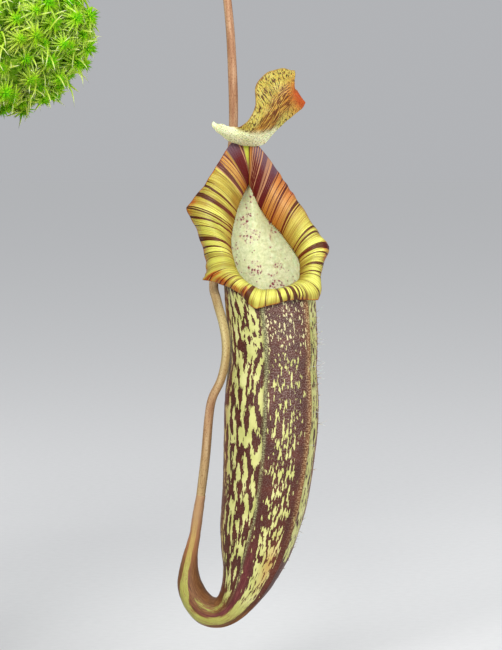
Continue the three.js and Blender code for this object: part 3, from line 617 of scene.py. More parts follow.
def add_mark(mesh, name, values):
    """A number at each vertex, for a material to read."""
    set_numbers(mesh.attributes.new(name, "FLOAT", "POINT").data, "value", values)


def shaped_grid(name, columns, rows, shape, marks, lay_map):
    """A grid bent into shape, with its seams merged.

    shape turns shares across and along the grid into points in millimetres. marks names vertex
    attributes with their formulas, and lay_map gives the map's place of such shares.
    """
    form = bmesh.new()
    form.loops.layers.uv.new("UVMap")
    bmesh.ops.create_grid(form, x_segments=columns, y_segments=rows, size=0.5, calc_uvs=True)
    mesh = new_mesh(name, form)
    flat = numbers(mesh.vertices, "co", 3)
    across = np.round((flat[:, 0] + 0.5) * columns) / columns
    along = np.round((flat[:, 1] + 0.5) * rows) / rows
    set_numbers(mesh.vertices, "co", shape(across, along) * MM)
    for mark, formula in marks.items():
        add_mark(mesh, mark, formula(across, along))
    layer = mesh.uv_layers["UVMap"].uv
    places = numbers(layer, "vector", 2)
    set_numbers(layer, "vector", np.stack(lay_map(places[:, 0], places[:, 1]), axis=1) * MM)
    form = bmesh.new()
    form.from_mesh(mesh)
    bmesh.ops.remove_doubles(form, verts=form.verts, dist=1e-6)
    bmesh.ops.dissolve_degenerate(form, edges=form.edges, dist=1e-7)
    bmesh.ops.recalc_face_normals(form, faces=form.faces)
    form.to_mesh(mesh)
    form.free()
    return mesh


def across_share(turn):
    """The share across a thick sheet, for a turn from its first edge over its front and back."""
    return (1 - np.cos(2 * np.pi * np.asarray(turn))) / 2


def thick_sheet(name, columns, rows, surface, half_thickness, marks, size):
    """A sheet with a front and a back, closed by thin round edges.

    surface gives the middle of the sheet from shares along and across it, and half_thickness its
    offset there, for the front (side 1) or the back (side -1). size is its length and width.
    """

    def shape(along, turn):
        across = across_share(turn)
        side = np.where(turn < 0.5, 1.0, -1.0)
        step = 1e-3
        ahead = surface(np.minimum(along + step, 1), across) - surface(np.maximum(along - step, 0), across)
        low, high = np.maximum(across - step, 0), np.minimum(across + step, 1)
        normal = unit(np.cross(ahead, surface(along, high) - surface(along, low)))
        return surface(along, across) + normal * (half_thickness(along, across, side) * side)[:, None]

    def on_sheet(formula):
        return lambda along, turn: formula(along, across_share(turn))

    placed = {mark: on_sheet(formula) for mark, formula in marks.items()}
    placed["front"] = lambda along, turn: turn < 0.5
    return shaped_grid(
        name, columns, rows, shape, placed, lambda u, v: (u * size[0], across_share(v) * size[1])
    )


def tube(name, sides, rows, line, radius_at, marks):
    """A round stalk along a curve, closed at both ends."""
    even, length = even_line(line)
    centres = even(np.linspace(0, 1, rows + 1))
    ways = unit(np.gradient(centres, axis=0))
    side_way = unit(np.cross(ways[0], [0.31, 0.95, 0.07]))
    firsts = np.empty_like(ways)
    for row, way in enumerate(ways):
        side_way = unit(side_way - way * (side_way @ way))
        firsts[row] = side_way
    seconds = np.cross(ways, firsts)
    girth = 2 * math.pi * radius_at(np.array([0.5]), np.array([0.0]))[0]

    def shape(turn, along):
        row = np.round(along * rows).astype(int)
        angle = turn * 2 * np.pi
        radius = radius_at(along, angle) * edge_fade(along, length / 1.2)
        out = firsts[row] * np.cos(angle)[:, None] + seconds[row] * np.sin(angle)[:, None]
        return centres[row] + out * radius[:, None]

    return shaped_grid(name, sides, rows, shape, marks, lambda u, v: (u * girth, v * length))


def upright_spike(cuts):
    """A three-sided spike, one unit long and wide, standing on the origin."""
    form = bmesh.new()
    raised = Matrix.Translation((0, 0, 0.5))
    bmesh.ops.create_cone(form, segments=3, radius1=0.5, radius2=0, depth=1, matrix=raised)
    bmesh.ops.remove_doubles(form, verts=form.verts, dist=1e-4)
    lengthwise = [edge for edge in form.edges if abs(edge.verts[0].co.z - edge.verts[1].co.z) > 0.5]
    bmesh.ops.subdivide_edges(form, edges=lengthwise, cuts=cuts)
    return new_mesh("spike", form)


def grow_spike(form, spike, foot, way, length, width, droop, tones=(0, 1)):
    """Adds a spike that stands on foot and points along way, with its tip bent down by droop of
    its length. tones are the values of its outward mark at its foot and its tip."""
    way = unit(np.array(way, float))
    side = unit(np.cross(way, [0.05, 0.02, 1]))
    top = np.cross(side, way)
    mesh = spike.copy()
    flat = numbers(mesh.vertices, "co", 3)
    share = flat[:, 2:]
    fuller = width / np.sqrt(np.maximum(1 - share, 0.08))
    points = np.array(foot) + way * share * length + (side * flat[:, :1] + top * flat[:, 1:2]) * fuller
    points = points - top * (droop * length * share**2)
    set_numbers(mesh.vertices, "co", points * MM)
    add_mark(mesh, "outward", tones[0] + (tones[1] - tones[0]) * share)
    form.from_mesh(mesh)
    bpy.data.meshes.remove(mesh)


def spiky_form():
    form = bmesh.new()
    form.verts.layers.float.new("outward")
    return form


# Materials


def linear(colour):
    """A colour of six sRGB hex digits, as linear red, green, blue and alpha."""
    channels = [int(colour[i : i + 2], 16) / 255 for i in (0, 2, 4)]
    return [c / 12.92 if c <= 0.04045 else ((c + 0.055) / 1.055) ** 2.4 for c in channels] + [1.0]


def add_node(tree, kind, inputs, output=0, stops=(), **settings):
    """Adds a node with its settings, and returns one of its outputs. inputs holds the value, hex
    colour or link of each input by name or number, and stops a ramp's places and hex colours."""
    node = tree.nodes.new("ShaderNode" + kind)
    for name, value in settings.items():
        setattr(node, name, value)
    for key, value in inputs.items():
        if isinstance(value, bpy.types.NodeSocket):
            tree.links.new(value, node.inputs[key])
        else:
            node.inputs[key].default_value = linear(value) if isinstance(value, str) else value
    for index, (place, colour) in enumerate(stops):
        elements = node.color_ramp.elements
        element = elements[index] if index < len(elements) else elements.new(place)
        element.position = place
        element.color = linear(colour)
    return node.outputs[output] if node.outputs else None


def new_material(name):
    """An empty material, and the function that adds its nodes."""
    material = bpy.data.materials.new(name)
    material.use_nodes = True
    material.node_tree.nodes.clear()
    return material, partial(add_node, material.node_tree)


def per_mm(size):
    """The scale at which a pattern of unit size has this size in millimetres."""
    return 1 / (size * MM)


def moulded_pot_plastic():
    """Black polypropylene from a mould: a dull, even skin with faint dust, and grain that is drawn
    coarser than the real 0.2 mm, which wouldn't show."""
    material, add = new_material("moulded_pot_plastic")
    place = add("TexCoord", {}, "Object")
    cloud = add("TexNoise", {"Vector": place, "Scale": per_mm(18), "Detail": 6})
    grain = add("TexNoise", {"Vector": place, "Scale": per_mm(0.9), "Detail": 2})
    dust = add("MapRange", {0: cloud, 1: 0.44, 2: 0.75, 3: 0, 4: 0.1})
    black = add("ValToRGB", {0: grain}, stops=[(0.3, "141516"), (0.7, "1e1f21")])
    skin = add("Mix", {0: dust, 6: black, 7: "7a7568"}, 2, data_type="RGBA")
    rough = add("MapRange", {0: dust, 1: 0, 2: 0.16, 3: 0.38, 4: 0.6})
    relief = add("Bump", {"Height": grain, "Distance": 0.05 * MM, "Strength": 0.5})
    look = {"Base Color": skin, "Roughness": rough, "IOR": 1.49, "Normal": relief}
    add("OutputMaterial", {"Surface": add("BsdfPrincipled", look)})
    return material


def damp_bark_mix():
    """Composted bark chips, damp and dark, with grains of white perlite."""
    material, add = new_material("damp_bark_mix")
    place = add("TexCoord", {}, "Object")
    chips = add("TexVoronoi", {"Vector": place, "Scale": per_mm(6)})
    grains = add("TexVoronoi", {"Vector": place, "Scale": per_mm(4.3)})
    bark = add("ValToRGB", {0: chips}, stops=[(0.05, "1c120b"), (0.35, "4a3222"), (0.6, "6b4a33")])
    perlite = add("MapRange", {0: grains, 1: 0.16, 2: 0.12})
    skin = add("Mix", {0: perlite, 6: bark, 7: "cfc9bc"}, 2, data_type="RGBA")
    relief = add("Bump", {"Height": chips, "Distance": 1.5 * MM})
    look = {"Base Color": skin, "Roughness": 0.85, "Normal": relief}
    add("OutputMaterial", {"Surface": add("BsdfPrincipled", look)})
    return material


def live_sphagnum():
    """Live bog moss: saturated green hearts, yellow-green branches, and pale tips that let the
    light through."""
    material, add = new_material("live_sphagnum")
    place = add("TexCoord", {}, "Object")
    outward = add("Attribute", {}, "Fac", attribute_name="outward")
    patch = add("TexNoise", {"Vector": place, "Scale": per_mm(17), "Detail": 2})
    fleck = add("TexNoise", {"Vector": place, "Scale": per_mm(1.3), "Detail": 2})
    fresh = add(
        "ValToRGB",
        {0: outward},
        stops=[(0, "4cae02"), (0.2, "78d004"), (0.45, "aee824"), (0.75, "d4f660"), (1, "f4fcc0")],
    )
    ripe = add(
        "ValToRGB",
        {0: outward},
        stops=[(0, "62960a"), (0.35, "9fc01c"), (0.75, "cfdd58"), (1, "f2f3ae")],
    )
    older = add("MapRange", {0: patch, 1: 0.52, 2: 0.7, 3: 0, 4: 0.8})
    tint = add("Mix", {0: older, 6: fresh, 7: ripe}, 2, data_type="RGBA")
    shade = add("MapRange", {0: fleck, 1: 0.45, 2: 0.75, 3: 0, 4: 0.15})
    skin = add("Mix", {0: shade, 6: tint, 7: "5c9a0c"}, 2, data_type="RGBA")
    look = {"Base Color": skin, "Roughness": 0.6, "Specular IOR Level": 0.12}
    look |= {"Subsurface Weight": 0.35, "Subsurface Scale": 2 * MM, "Subsurface Radius": (0.8, 1.0, 0.2)}
    add("OutputMaterial", {"Surface": add("BsdfPrincipled", look)})
    return material


def shaded_sphagnum():
    """The moss's older branches between the heads: wet, olive, and dark in their gaps."""
    material, add = new_material("shaded_sphagnum")
    place = add("TexCoord", {}, "Object")
    fibre = add("TexNoise", {"Vector": place, "Scale": per_mm(2.5), "Detail": 5, "Roughness": 0.7})
    skin = add("ValToRGB", {0: fibre}, stops=[(0.35, "4a7808"), (0.5, "7ab014"), (0.68, "b0d83a")])
    relief = add("Bump", {"Height": fibre, "Distance": 2 * MM})
    look = {"Base Color": skin, "Roughness": 0.8, "Specular IOR Level": 0.1, "Normal": relief}
    add("OutputMaterial", {"Surface": add("BsdfPrincipled", look)})
    return material


def vine_stem():
    """A climber's stem: corky brown below, green above, with fine lengthwise cracks."""
    material, add = new_material("vine_stem")
    place = add("TexCoord", {}, "UV")
    stretched = add("Mapping", {"Vector": place, "Scale": (per_mm(0.9), per_mm(12), 1)})
    cracks = add("TexNoise", {"Vector": stretched, "Scale": 1, "Detail": 4})
    height = add("Attribute", {}, "Fac", attribute_name="height")
    age = add("MapRange", {0: height, 1: 0.3, 2: 0.85})
    green = add("ValToRGB", {0: cracks}, stops=[(0.3, "54621f"), (0.7, "8a8c3c")])
    brown = add("ValToRGB", {0: cracks}, stops=[(0.3, "4b3119"), (0.7, "7d5a35")])
    skin = add("Mix", {0: age, 6: brown, 7: green}, 2, data_type="RGBA")
    relief = add("Bump", {"Height": cracks, "Distance": 0.4 * MM, "Strength": 0.7})
    look = {"Base Color": skin, "Roughness": 0.55, "Normal": relief}
    add("OutputMaterial", {"Surface": add("BsdfPrincipled", look)})
    return material


def waxy_leaf():
    """A tough tropical leaf: waxy deep green above and duller below, with a light midrib, fine
    long veins and slanting side veins, and a thin reddish margin."""
    material, add = new_material("waxy_leaf")
    place = add("TexCoord", {}, "Object")
    names = ("across", "along", "front")
    across, along, front = (add("Attribute", {}, "Fac", attribute_name=name) for name in names)
    out = add("Math", {0: across}, operation="ABSOLUTE")
    cloud = add("TexNoise", {"Vector": place, "Scale": per_mm(26), "Detail": 3})
    mottle = add("TexNoise", {"Vector": place, "Scale": per_mm(1.4), "Detail": 2})
    long_wave = add("Math", {0: add("Math", {0: out, 1: 38}, operation="MULTIPLY")}, operation="SINE")
    slant = add("Math", {0: out, 1: 0.1, 2: along}, operation="MULTIPLY_ADD")
    side_wave = add("Math", {0: add("Math", {0: slant, 1: 290}, operation="MULTIPLY")}, operation="SINE")
    long_vein = add("MapRange", {0: long_wave, 1: 0.9, 2: 1})
    side_vein = add("MapRange", {0: side_wave, 1: 0.86, 2: 1, 3: 0, 4: 0.6})
    vein = add("Math", {0: long_vein, 1: side_vein}, operation="MAXIMUM")
    above = add("ValToRGB", {0: cloud}, stops=[(0.3, "2c5714"), (0.55, "41741d"), (0.8, "5b8c2a")])
    below = add("ValToRGB", {0: cloud}, stops=[(0.3, "6b8a45"), (0.8, "8aa65a")])
    skin = add("Mix", {0: front, 6: below, 7: above}, 2, data_type="RGBA")
    vein_share = add("Math", {0: vein, 1: 0.3}, operation="MULTIPLY")
    spotted = add("MapRange", {0: mottle, 1: 0.6, 2: 0.8, 3: 0, 4: 0.25})
    margin = add("MapRange", {0: out, 1: 0.95, 2: 1, 3: 0, 4: 0.6})
    midrib = add("MapRange", {0: out, 1: 0.07, 2: 0.025})
    layers = [(vein_share, "a9bd62"), (spotted, "86a43c"), (margin, "8a4a2c"), (midrib, "a8b35a")]
    for share, colour in layers:
        skin = add("Mix", {0: share, 6: skin, 7: colour}, 2, data_type="RGBA")
    height = add("Math", {0: vein, 1: -0.4, 2: mottle}, operation="MULTIPLY_ADD")
    relief = add("Bump", {"Height": height, "Distance": 0.35 * MM, "Strength": 0.6})
    look = {"Base Color": skin, "Roughness": 0.36, "IOR": 1.45, "Normal": relief}
    look |= {"Coat Weight": 0.25, "Coat Roughness": 0.25}
    add("OutputMaterial", {"Surface": add("BsdfPrincipled", look)})
    return material


def tendril_skin():
    """A tendril's tan skin, dull with down and dotted brown, and paler and greener in part."""
    material, add = new_material("tendril_skin")
    place = add("TexCoord", {}, "UV")
    stretched = add("Mapping", {"Vector": place, "Scale": (per_mm(0.5), per_mm(0.8), 1)})
    dots = add("TexNoise", {"Vector": stretched, "Scale": 1, "Detail": 2})
    lines = add("Mapping", {"Vector": place, "Scale": (per_mm(1.6), per_mm(18), 1)})
    streak = add("TexNoise", {"Vector": lines, "Scale": 1, "Detail": 4})
    tan = add("ValToRGB", {0: streak}, stops=[(0.3, "8f5f45"), (0.5, "b18462"), (0.7, "c9a583")])
    pale = add("Attribute", {}, "Fac", attribute_name="pale")
    green = add("ValToRGB", {0: streak}, stops=[(0.3, "a8945a"), (0.7, "cfc48a")])
    tinted = add("Mix", {0: pale, 6: tan, 7: green}, 2, data_type="RGBA")
    dotted = add("MapRange", {0: dots, 1: 0.54, 2: 0.68, 3: 0, 4: 0.6})
    skin = add("Mix", {0: dotted, 6: tinted, 7: "734528"}, 2, data_type="RGBA")
    relief = add("Bump", {"Height": dots, "Distance": 0.15 * MM, "Strength": 0.6})
    look = {"Base Color": skin, "Roughness": 0.6, "Specular IOR Level": 0.2, "Normal": relief}
    add("OutputMaterial", {"Surface": add("BsdfPrincipled", look)})
    return material


def fine_hair():
    """Plant hair: thin, pale and translucent."""
    material, add = new_material("fine_hair")
    outward = add("Attribute", {}, "Fac", attribute_name="outward")
    skin = add("ValToRGB", {0: outward}, stops=[(0.2, "8a7a5c"), (0.6, "d8d4c4"), (1, "efeee6")])
    look = {"Base Color": skin, "Roughness": 0.4, "Subsurface Weight": 0.3, "Subsurface Scale": MM}
    add("OutputMaterial", {"Surface": add("BsdfPrincipled", look)})
    return material


def cup_outside():
    """The pitcher's outer wall: maroon with interlocking yellow-green blotches, small spots between
    two downy ribs, grey scurf on the dark parts, and a tail where the spots run together into a
    yellow band beside a crimson one."""
    material, add = new_material("cup_outside")
    place = add("TexCoord", {}, "UV")
    names = ("pale", "panel", "tail", "tan", "end", "crimson")
    names += ("left_rib", "right_rib", "dusty", "high", "brown_and_side_shade")
    marks = {name: add("Attribute", {}, "Fac", attribute_name=name) for name in names}
    # Blotches are whole cells of a fine net, as the wall's own are bounded by its veins
    wavy = add("TexNoise", {"Vector": place, "Scale": per_mm(1.1), "Detail": 1}, "Color")
    bend = add("VectorMath", {0: wavy, 1: (0.5, 0.5, 0.5)}, operation="SUBTRACT")
    moved = add("VectorMath", {0: bend, 1: (0.35 * MM, MM, 0), 2: place}, operation="MULTIPLY_ADD")
    net = add("Mapping", {"Vector": moved, "Scale": (per_mm(0.31), per_mm(1.15), 1)})
    cell = add("TexVoronoi", {"Vector": net, "Scale": 1}, "Position")
    blotches = add("TexNoise", {"Vector": cell, "Scale": 0.16, "Detail": 2, "Roughness": 0.5})
    spots = add("TexNoise", {"Vector": cell, "Scale": 0.32, "Detail": 1, "Roughness": 0.4})
    small_spots = add("TexNoise", {"Vector": cell, "Scale": 0.5, "Detail": 1, "Roughness": 0.4})
    spots = add("Mix", {0: marks["high"], 2: spots, 3: small_spots}, data_type="FLOAT")
    thread = add("Mapping", {"Vector": place, "Scale": (per_mm(0.9), per_mm(6), 1)})
    streak = add("TexNoise", {"Vector": thread, "Scale": 1, "Detail": 5, "Roughness": 0.7})
    blotch_level = add("MapRange", {0: blotches, 1: 0.28, 2: 0.72})
    spot_level = add("MapRange", {0: spots, 1: 0.28, 2: 0.72})
    streak_level = add("MapRange", {0: streak, 1: 0.3, 2: 0.7})
    level = add("Mix", {0: marks["panel"], 2: blotch_level, 3: spot_level}, data_type="FLOAT")
    level = add("Mix", {0: marks["tail"], 2: level, 3: streak_level}, data_type="FLOAT")
    excess = add("Math", {0: marks["pale"], 1: level}, operation="SUBTRACT")
    crisp = add("MapRange", {0: excess, 1: -0.012, 2: 0.012})
    soft = add("MapRange", {0: excess, 1: -0.03, 2: 0.05})
    pale = add("Mix", {0: marks["tail"], 2: crisp, 3: soft}, data_type="FLOAT")
    scurf = add("TexNoise", {"Vector": place, "Scale": per_mm(0.55), "Detail": 3, "Roughness": 0.7})
    cloud = add("TexNoise", {"Vector": place, "Scale": per_mm(7), "Detail": 2})
    # Each ramp: what it follows, the places of its three stops and their colours
    ramps = {
        "maroon": (cloud, (0.3, 0.55, 0.8), ("3e1610", "4d2116", "622f22")),
        "yellow": (cloud, (0.3, 0.55, 0.8), ("b8b969", "cbca80", "dedb9c")),
        "brown": (streak, (0.35, 0.5, 0.65), ("4c2c16", "6f4828", "94673e")),
        "tawny": (streak, (0.35, 0.5, 0.65), ("87502f", "a06a44", "b58558")),
        "crimson": (streak, (0.35, 0.5, 0.65), ("4a1a1c", "632a2c", "7e4742")),
        "olive": (streak, (0.35, 0.5, 0.65), ("84823a", "a8a550", "c4c276")),
        "straw": (streak, (0.35, 0.5, 0.65), ("a08045", "bb9d56", "ccb471")),
        "tan_end": (streak, (0.3, 0.5, 0.7), ("94694a", "b68e68", "caac84")),
        "grey_down": (scurf, (0.36, 0.5, 0.64), ("3d3a28", "6f6d48", "c4c38c")),
        "brown_down": (scurf, (0.36, 0.5, 0.64), ("3e2412", "8d6238", "d8bb86")),
    }
    tone = {
        name: add("ValToRGB", {0: source}, stops=zip(places, colours))
        for name, (source, places, colours) in ramps.items()
    }
    bloom_share = add("MapRange", {0: scurf, 1: 0.46, 2: 0.68})
    bloom = add("Math", {0: bloom_share, 1: marks["dusty"]}, operation="MULTIPLY")
    creamy = add("Math", {0: marks["high"], 1: 0.6}, operation="MULTIPLY")
    # Browner wall and orange spots; right of the right rib this is also painted shade
    orange_and_side_shade = add("Math", {0: marks["brown_and_side_shade"], 1: 0.6}, operation="MULTIPLY")
    brown = add("Mix", {0: marks["tan"], 6: tone["brown"], 7: tone["tawny"]}, 2, data_type="RGBA")
    olive = add("Mix", {0: marks["tan"], 6: tone["olive"], 7: tone["straw"]}, 2, data_type="RGBA")
    dark, yellow = tone["maroon"], tone["yellow"]
    over_dark = [
        (bloom, "a08e84"),
        (marks["tail"], brown),
        (marks["crimson"], tone["crimson"]),
        (marks["brown_and_side_shade"], "70381f"),
    ]
    for share, colour in over_dark:
        dark = add("Mix", {0: share, 6: dark, 7: colour}, 2, data_type="RGBA")
    over_yellow = [(creamy, "dccfa8"), (marks["tail"], olive), (orange_and_side_shade, "c07b3a")]
    for share, colour in over_yellow:
        yellow = add("Mix", {0: share, 6: yellow, 7: colour}, 2, data_type="RGBA")
    skin = add("Mix", {0: pale, 6: dark, 7: yellow}, 2, data_type="RGBA")
    over_both = [
        (marks["end"], tone["tan_end"]),
        (marks["left_rib"], tone["grey_down"]),
        (marks["right_rib"], tone["brown_down"]),
    ]
    for share, colour in over_both:
        skin = add("Mix", {0: share, 6: skin, 7: colour}, 2, data_type="RGBA")
    rough = add("MapRange", {0: scurf, 1: 0.4, 2: 0.7, 3: 0.36, 4: 0.62})
    height = add("Math", {0: pale, 1: 0.3, 2: scurf}, operation="MULTIPLY_ADD")
    relief = add("Bump", {"Height": height, "Distance": 0.14 * MM, "Strength": 0.7})
    look = {"Base Color": skin, "Roughness": rough, "Specular IOR Level": 0.22, "Normal": relief}
    add("OutputMaterial", {"Surface": add("BsdfPrincipled", look)})
    return material


def cup_inside():
    """The waxy inner wall: pale grey-green and softly glowing, with clusters of mauve glands, and painted
    shade high on its back wall under the neck.
    """
    material, add = new_material("cup_inside")
    place = add("TexCoord", {}, "Object")
    cloud = add("TexNoise", {"Vector": place, "Scale": per_mm(1.6), "Detail": 4, "Roughness": 0.75})
    clusters = add("TexNoise", {"Vector": place, "Scale": per_mm(5.5), "Detail": 2})
    ragged = add("TexNoise", {"Vector": place, "Scale": per_mm(0.5), "Detail": 2})
    glands = add("TexVoronoi", {"Vector": place, "Scale": per_mm(1.3)})
    dots = add("TexVoronoi", {"Vector": place, "Scale": per_mm(2.3)})
    wax = add("ValToRGB", {0: cloud}, stops=[(0.35, "c9cf9f"), (0.5, "dde2b6"), (0.65, "eef1ce")])
    edge = add("Math", {0: ragged, 1: 1.1, 2: glands}, operation="MULTIPLY_ADD")
    spot = add("MapRange", {0: edge, 1: 0.98, 2: 0.82})
    halo = add("MapRange", {0: edge, 1: 1.3, 2: 0.9, 3: 0, 4: 0.5})
    crowd = add("MapRange", {0: clusters, 1: 0.56, 2: 0.62})
    haze = add("Math", {0: halo, 1: crowd}, operation="MULTIPLY")
    # Painted shade: darker olive-grey high on the inner back wall, under the neck
    painted_apex_shade = add("Attribute", {}, "Fac", attribute_name="painted_apex_shade")
    clustered = add("Math", {0: spot, 1: crowd}, operation="MULTIPLY")
    scattered = add("MapRange", {0: dots, 1: 0.17, 2: 0.1, 3: 0, 4: 0.7})
    gland = add("Math", {0: clustered, 1: scattered}, operation="MAXIMUM")
    purple = add("ValToRGB", {0: ragged}, stops=[(0.35, "74303a"), (0.6, "9a525c"), (0.75, "b27c80")])
    skin = wax
    for share, colour in [(haze, "c9a3a0"), (painted_apex_shade, "94935f"), (gland, purple)]:
        skin = add("Mix", {0: share, 6: skin, 7: colour}, 2, data_type="RGBA")
    relief = add("Bump", {"Height": cloud, "Distance": 0.15 * MM, "Strength": 0.5})
    look = {"Base Color": skin, "Roughness": 0.5, "Specular IOR Level": 0.2, "Normal": relief}
    look |= {"Subsurface Weight": 0.3, "Subsurface Scale": 3 * MM}
    add("OutputMaterial", {"Surface": add("BsdfPrincipled", look)})
    return material


def striped_collar():
    """The hard, waxed collar: lemon yellow with gold and orange parts, scorched at its edge,
    striped in wine and maroon, and wine all over beside the neck."""
    material, add = new_material("striped_collar")
    place = add("TexCoord", {}, "UV")
    names = ("stripe", "pale_line", "orange", "gold_and_lip_shade", "pale_band_and_highlight", "scorched", "lined")
    names += ("ruby", "neck", "lime", "high", "across", "front")
    marks = {name: add("Attribute", {}, "Fac", attribute_name=name) for name in names}
    hairline = add("Mapping", {"Vector": place, "Scale": (per_mm(0.42), per_mm(40), 1)})
    fine = add("TexNoise", {"Vector": hairline, "Scale": 1, "Detail": 2})
    broad = add("Mapping", {"Vector": place, "Scale": (per_mm(2.6), per_mm(16), 1)})
    cloud = add("TexNoise", {"Vector": broad, "Scale": 1, "Detail": 3})
    thread = add("Mapping", {"Vector": place, "Scale": (per_mm(0.95), per_mm(55), 1)})
    line_noise = add("TexNoise", {"Vector": thread, "Scale": 1, "Detail": 2, "Roughness": 0.6})
    grain = add("TexNoise", {"Vector": place, "Scale": per_mm(0.5), "Detail": 1})
    # Each ramp: what it follows, the places of its three stops and their colours
    ramps = {
        "lemon": (cloud, (0.36, 0.5, 0.64), ("948c34", "bfbc4a", "dcdc6a")),
        "gold_and_lip_shade": (cloud, (0.3, 0.5, 0.7), ("84601a", "a0792a", "b9953f")),
        "orange": (marks["across"], (0.1, 0.5, 0.9), ("a8661f", "cb9150", "b86a34")),
        "fire": (marks["scorched"], (0.1, 0.5, 1), ("b98428", "b0501a", "832210")),
        "strip": (line_noise, (0.4, 0.55, 0.6), ("97764a", "8a6636", "4a1714")),
        # Towards its outer edge the ruby patch turns purple-grey: a painted sheen
        "ruby": (marks["across"], (0.1, 0.6, 0.95), ("560a04", "5a120e", "624650")),
        "wine": (marks["across"], (0.05, 0.5, 1), ("641408", "52100a", "400c0a")),
        # Plum for the dark stripes near the neck: a painted sheen
        "plum_sheen": (fine, (0.3, 0.55, 0.8), ("4c1218", "60262e", "7e4046")),
    }
    tone = {
        name: add("ValToRGB", {0: source}, stops=zip(places, colours))
        for name, (source, places, colours) in ramps.items()
    }
    tinge = add("MapRange", {0: fine, 1: 0.48, 2: 0.62, 3: 0, 4: 0.6})
    burnt = add("MapRange", {0: marks["scorched"], 1: 0.05, 2: 0.55})
    singed = add("MapRange", {0: fine, 1: 0.3, 2: 0.6, 3: 0.35, 4: 1})
    burnt = add("Math", {0: burnt, 1: singed}, operation="MULTIPLY")
    drawn = add("MapRange", {0: line_noise, 1: 0.56, 2: 0.6, 3: 0, 4: 0.6})
    line = add("Math", {0: drawn, 1: marks["lined"]}, operation="MULTIPLY")
    ragged = add("Math", {0: fine, 1: 0.4, 2: -0.2}, operation="MULTIPLY_ADD")
    stripe_edge = add("Math", {0: marks["stripe"], 1: ragged}, operation="ADD")
    stripe = add("MapRange", {0: stripe_edge, 1: 0.3, 2: 0.55, 3: 0, 4: 0.95})
    # Near the neck the dark stripes take the plum colour of a painted sheen
    dark = add("Mix", {0: marks["high"], 6: tone["wine"], 7: tone["plum_sheen"]}, 2, data_type="RGBA")
    tan = add("MapRange", {0: marks["pale_line"], 1: 0.3, 2: 0.6, 3: 0, 4: 0.85})
    layers = [
        # Paler band along the roll: partly the collar's own tone, partly a painted highlight
        (marks["pale_band_and_highlight"], "e2e46e"),
        # Gold parts of the collar, and painted shade along its inner lip
        (marks["gold_and_lip_shade"], tone["gold_and_lip_shade"]),
        (marks["orange"], tone["orange"]),
        (tinge, "94601c"),
        (burnt, tone["fire"]),
        (line, "6d2a12"),
        (marks["neck"], tone["strip"]),
        (marks["lime"], "b3b83e"),
        (marks["ruby"], tone["ruby"]),
        (stripe, dark),
        (tan, "b8845c"),
    ]
    skin = tone["lemon"]
    for share, colour in layers:
        skin = add("Mix", {0: share, 6: skin, 7: colour}, 2, data_type="RGBA")
    under = add("ValToRGB", {0: cloud}, stops=[(0.3, "7c3f22"), (0.7, "a97a2c")])
    skin = add("Mix", {0: marks["front"], 6: under, 7: skin}, 2, data_type="RGBA")
    height = add("Math", {0: fine, 1: 0.7, 2: grain}, operation="MULTIPLY_ADD")
    relief = add("Bump", {"Height": height, "Distance": 0.1 * MM, "Strength": 0.6})
    look = {"Base Color": skin, "Roughness": 0.38, "Specular IOR Level": 0.2, "Normal": relief}
    look |= {"Coat Weight": 0.05, "Coat Roughness": 0.25}
    add("OutputMaterial", {"Surface": add("BsdfPrincipled", look)})
    return material


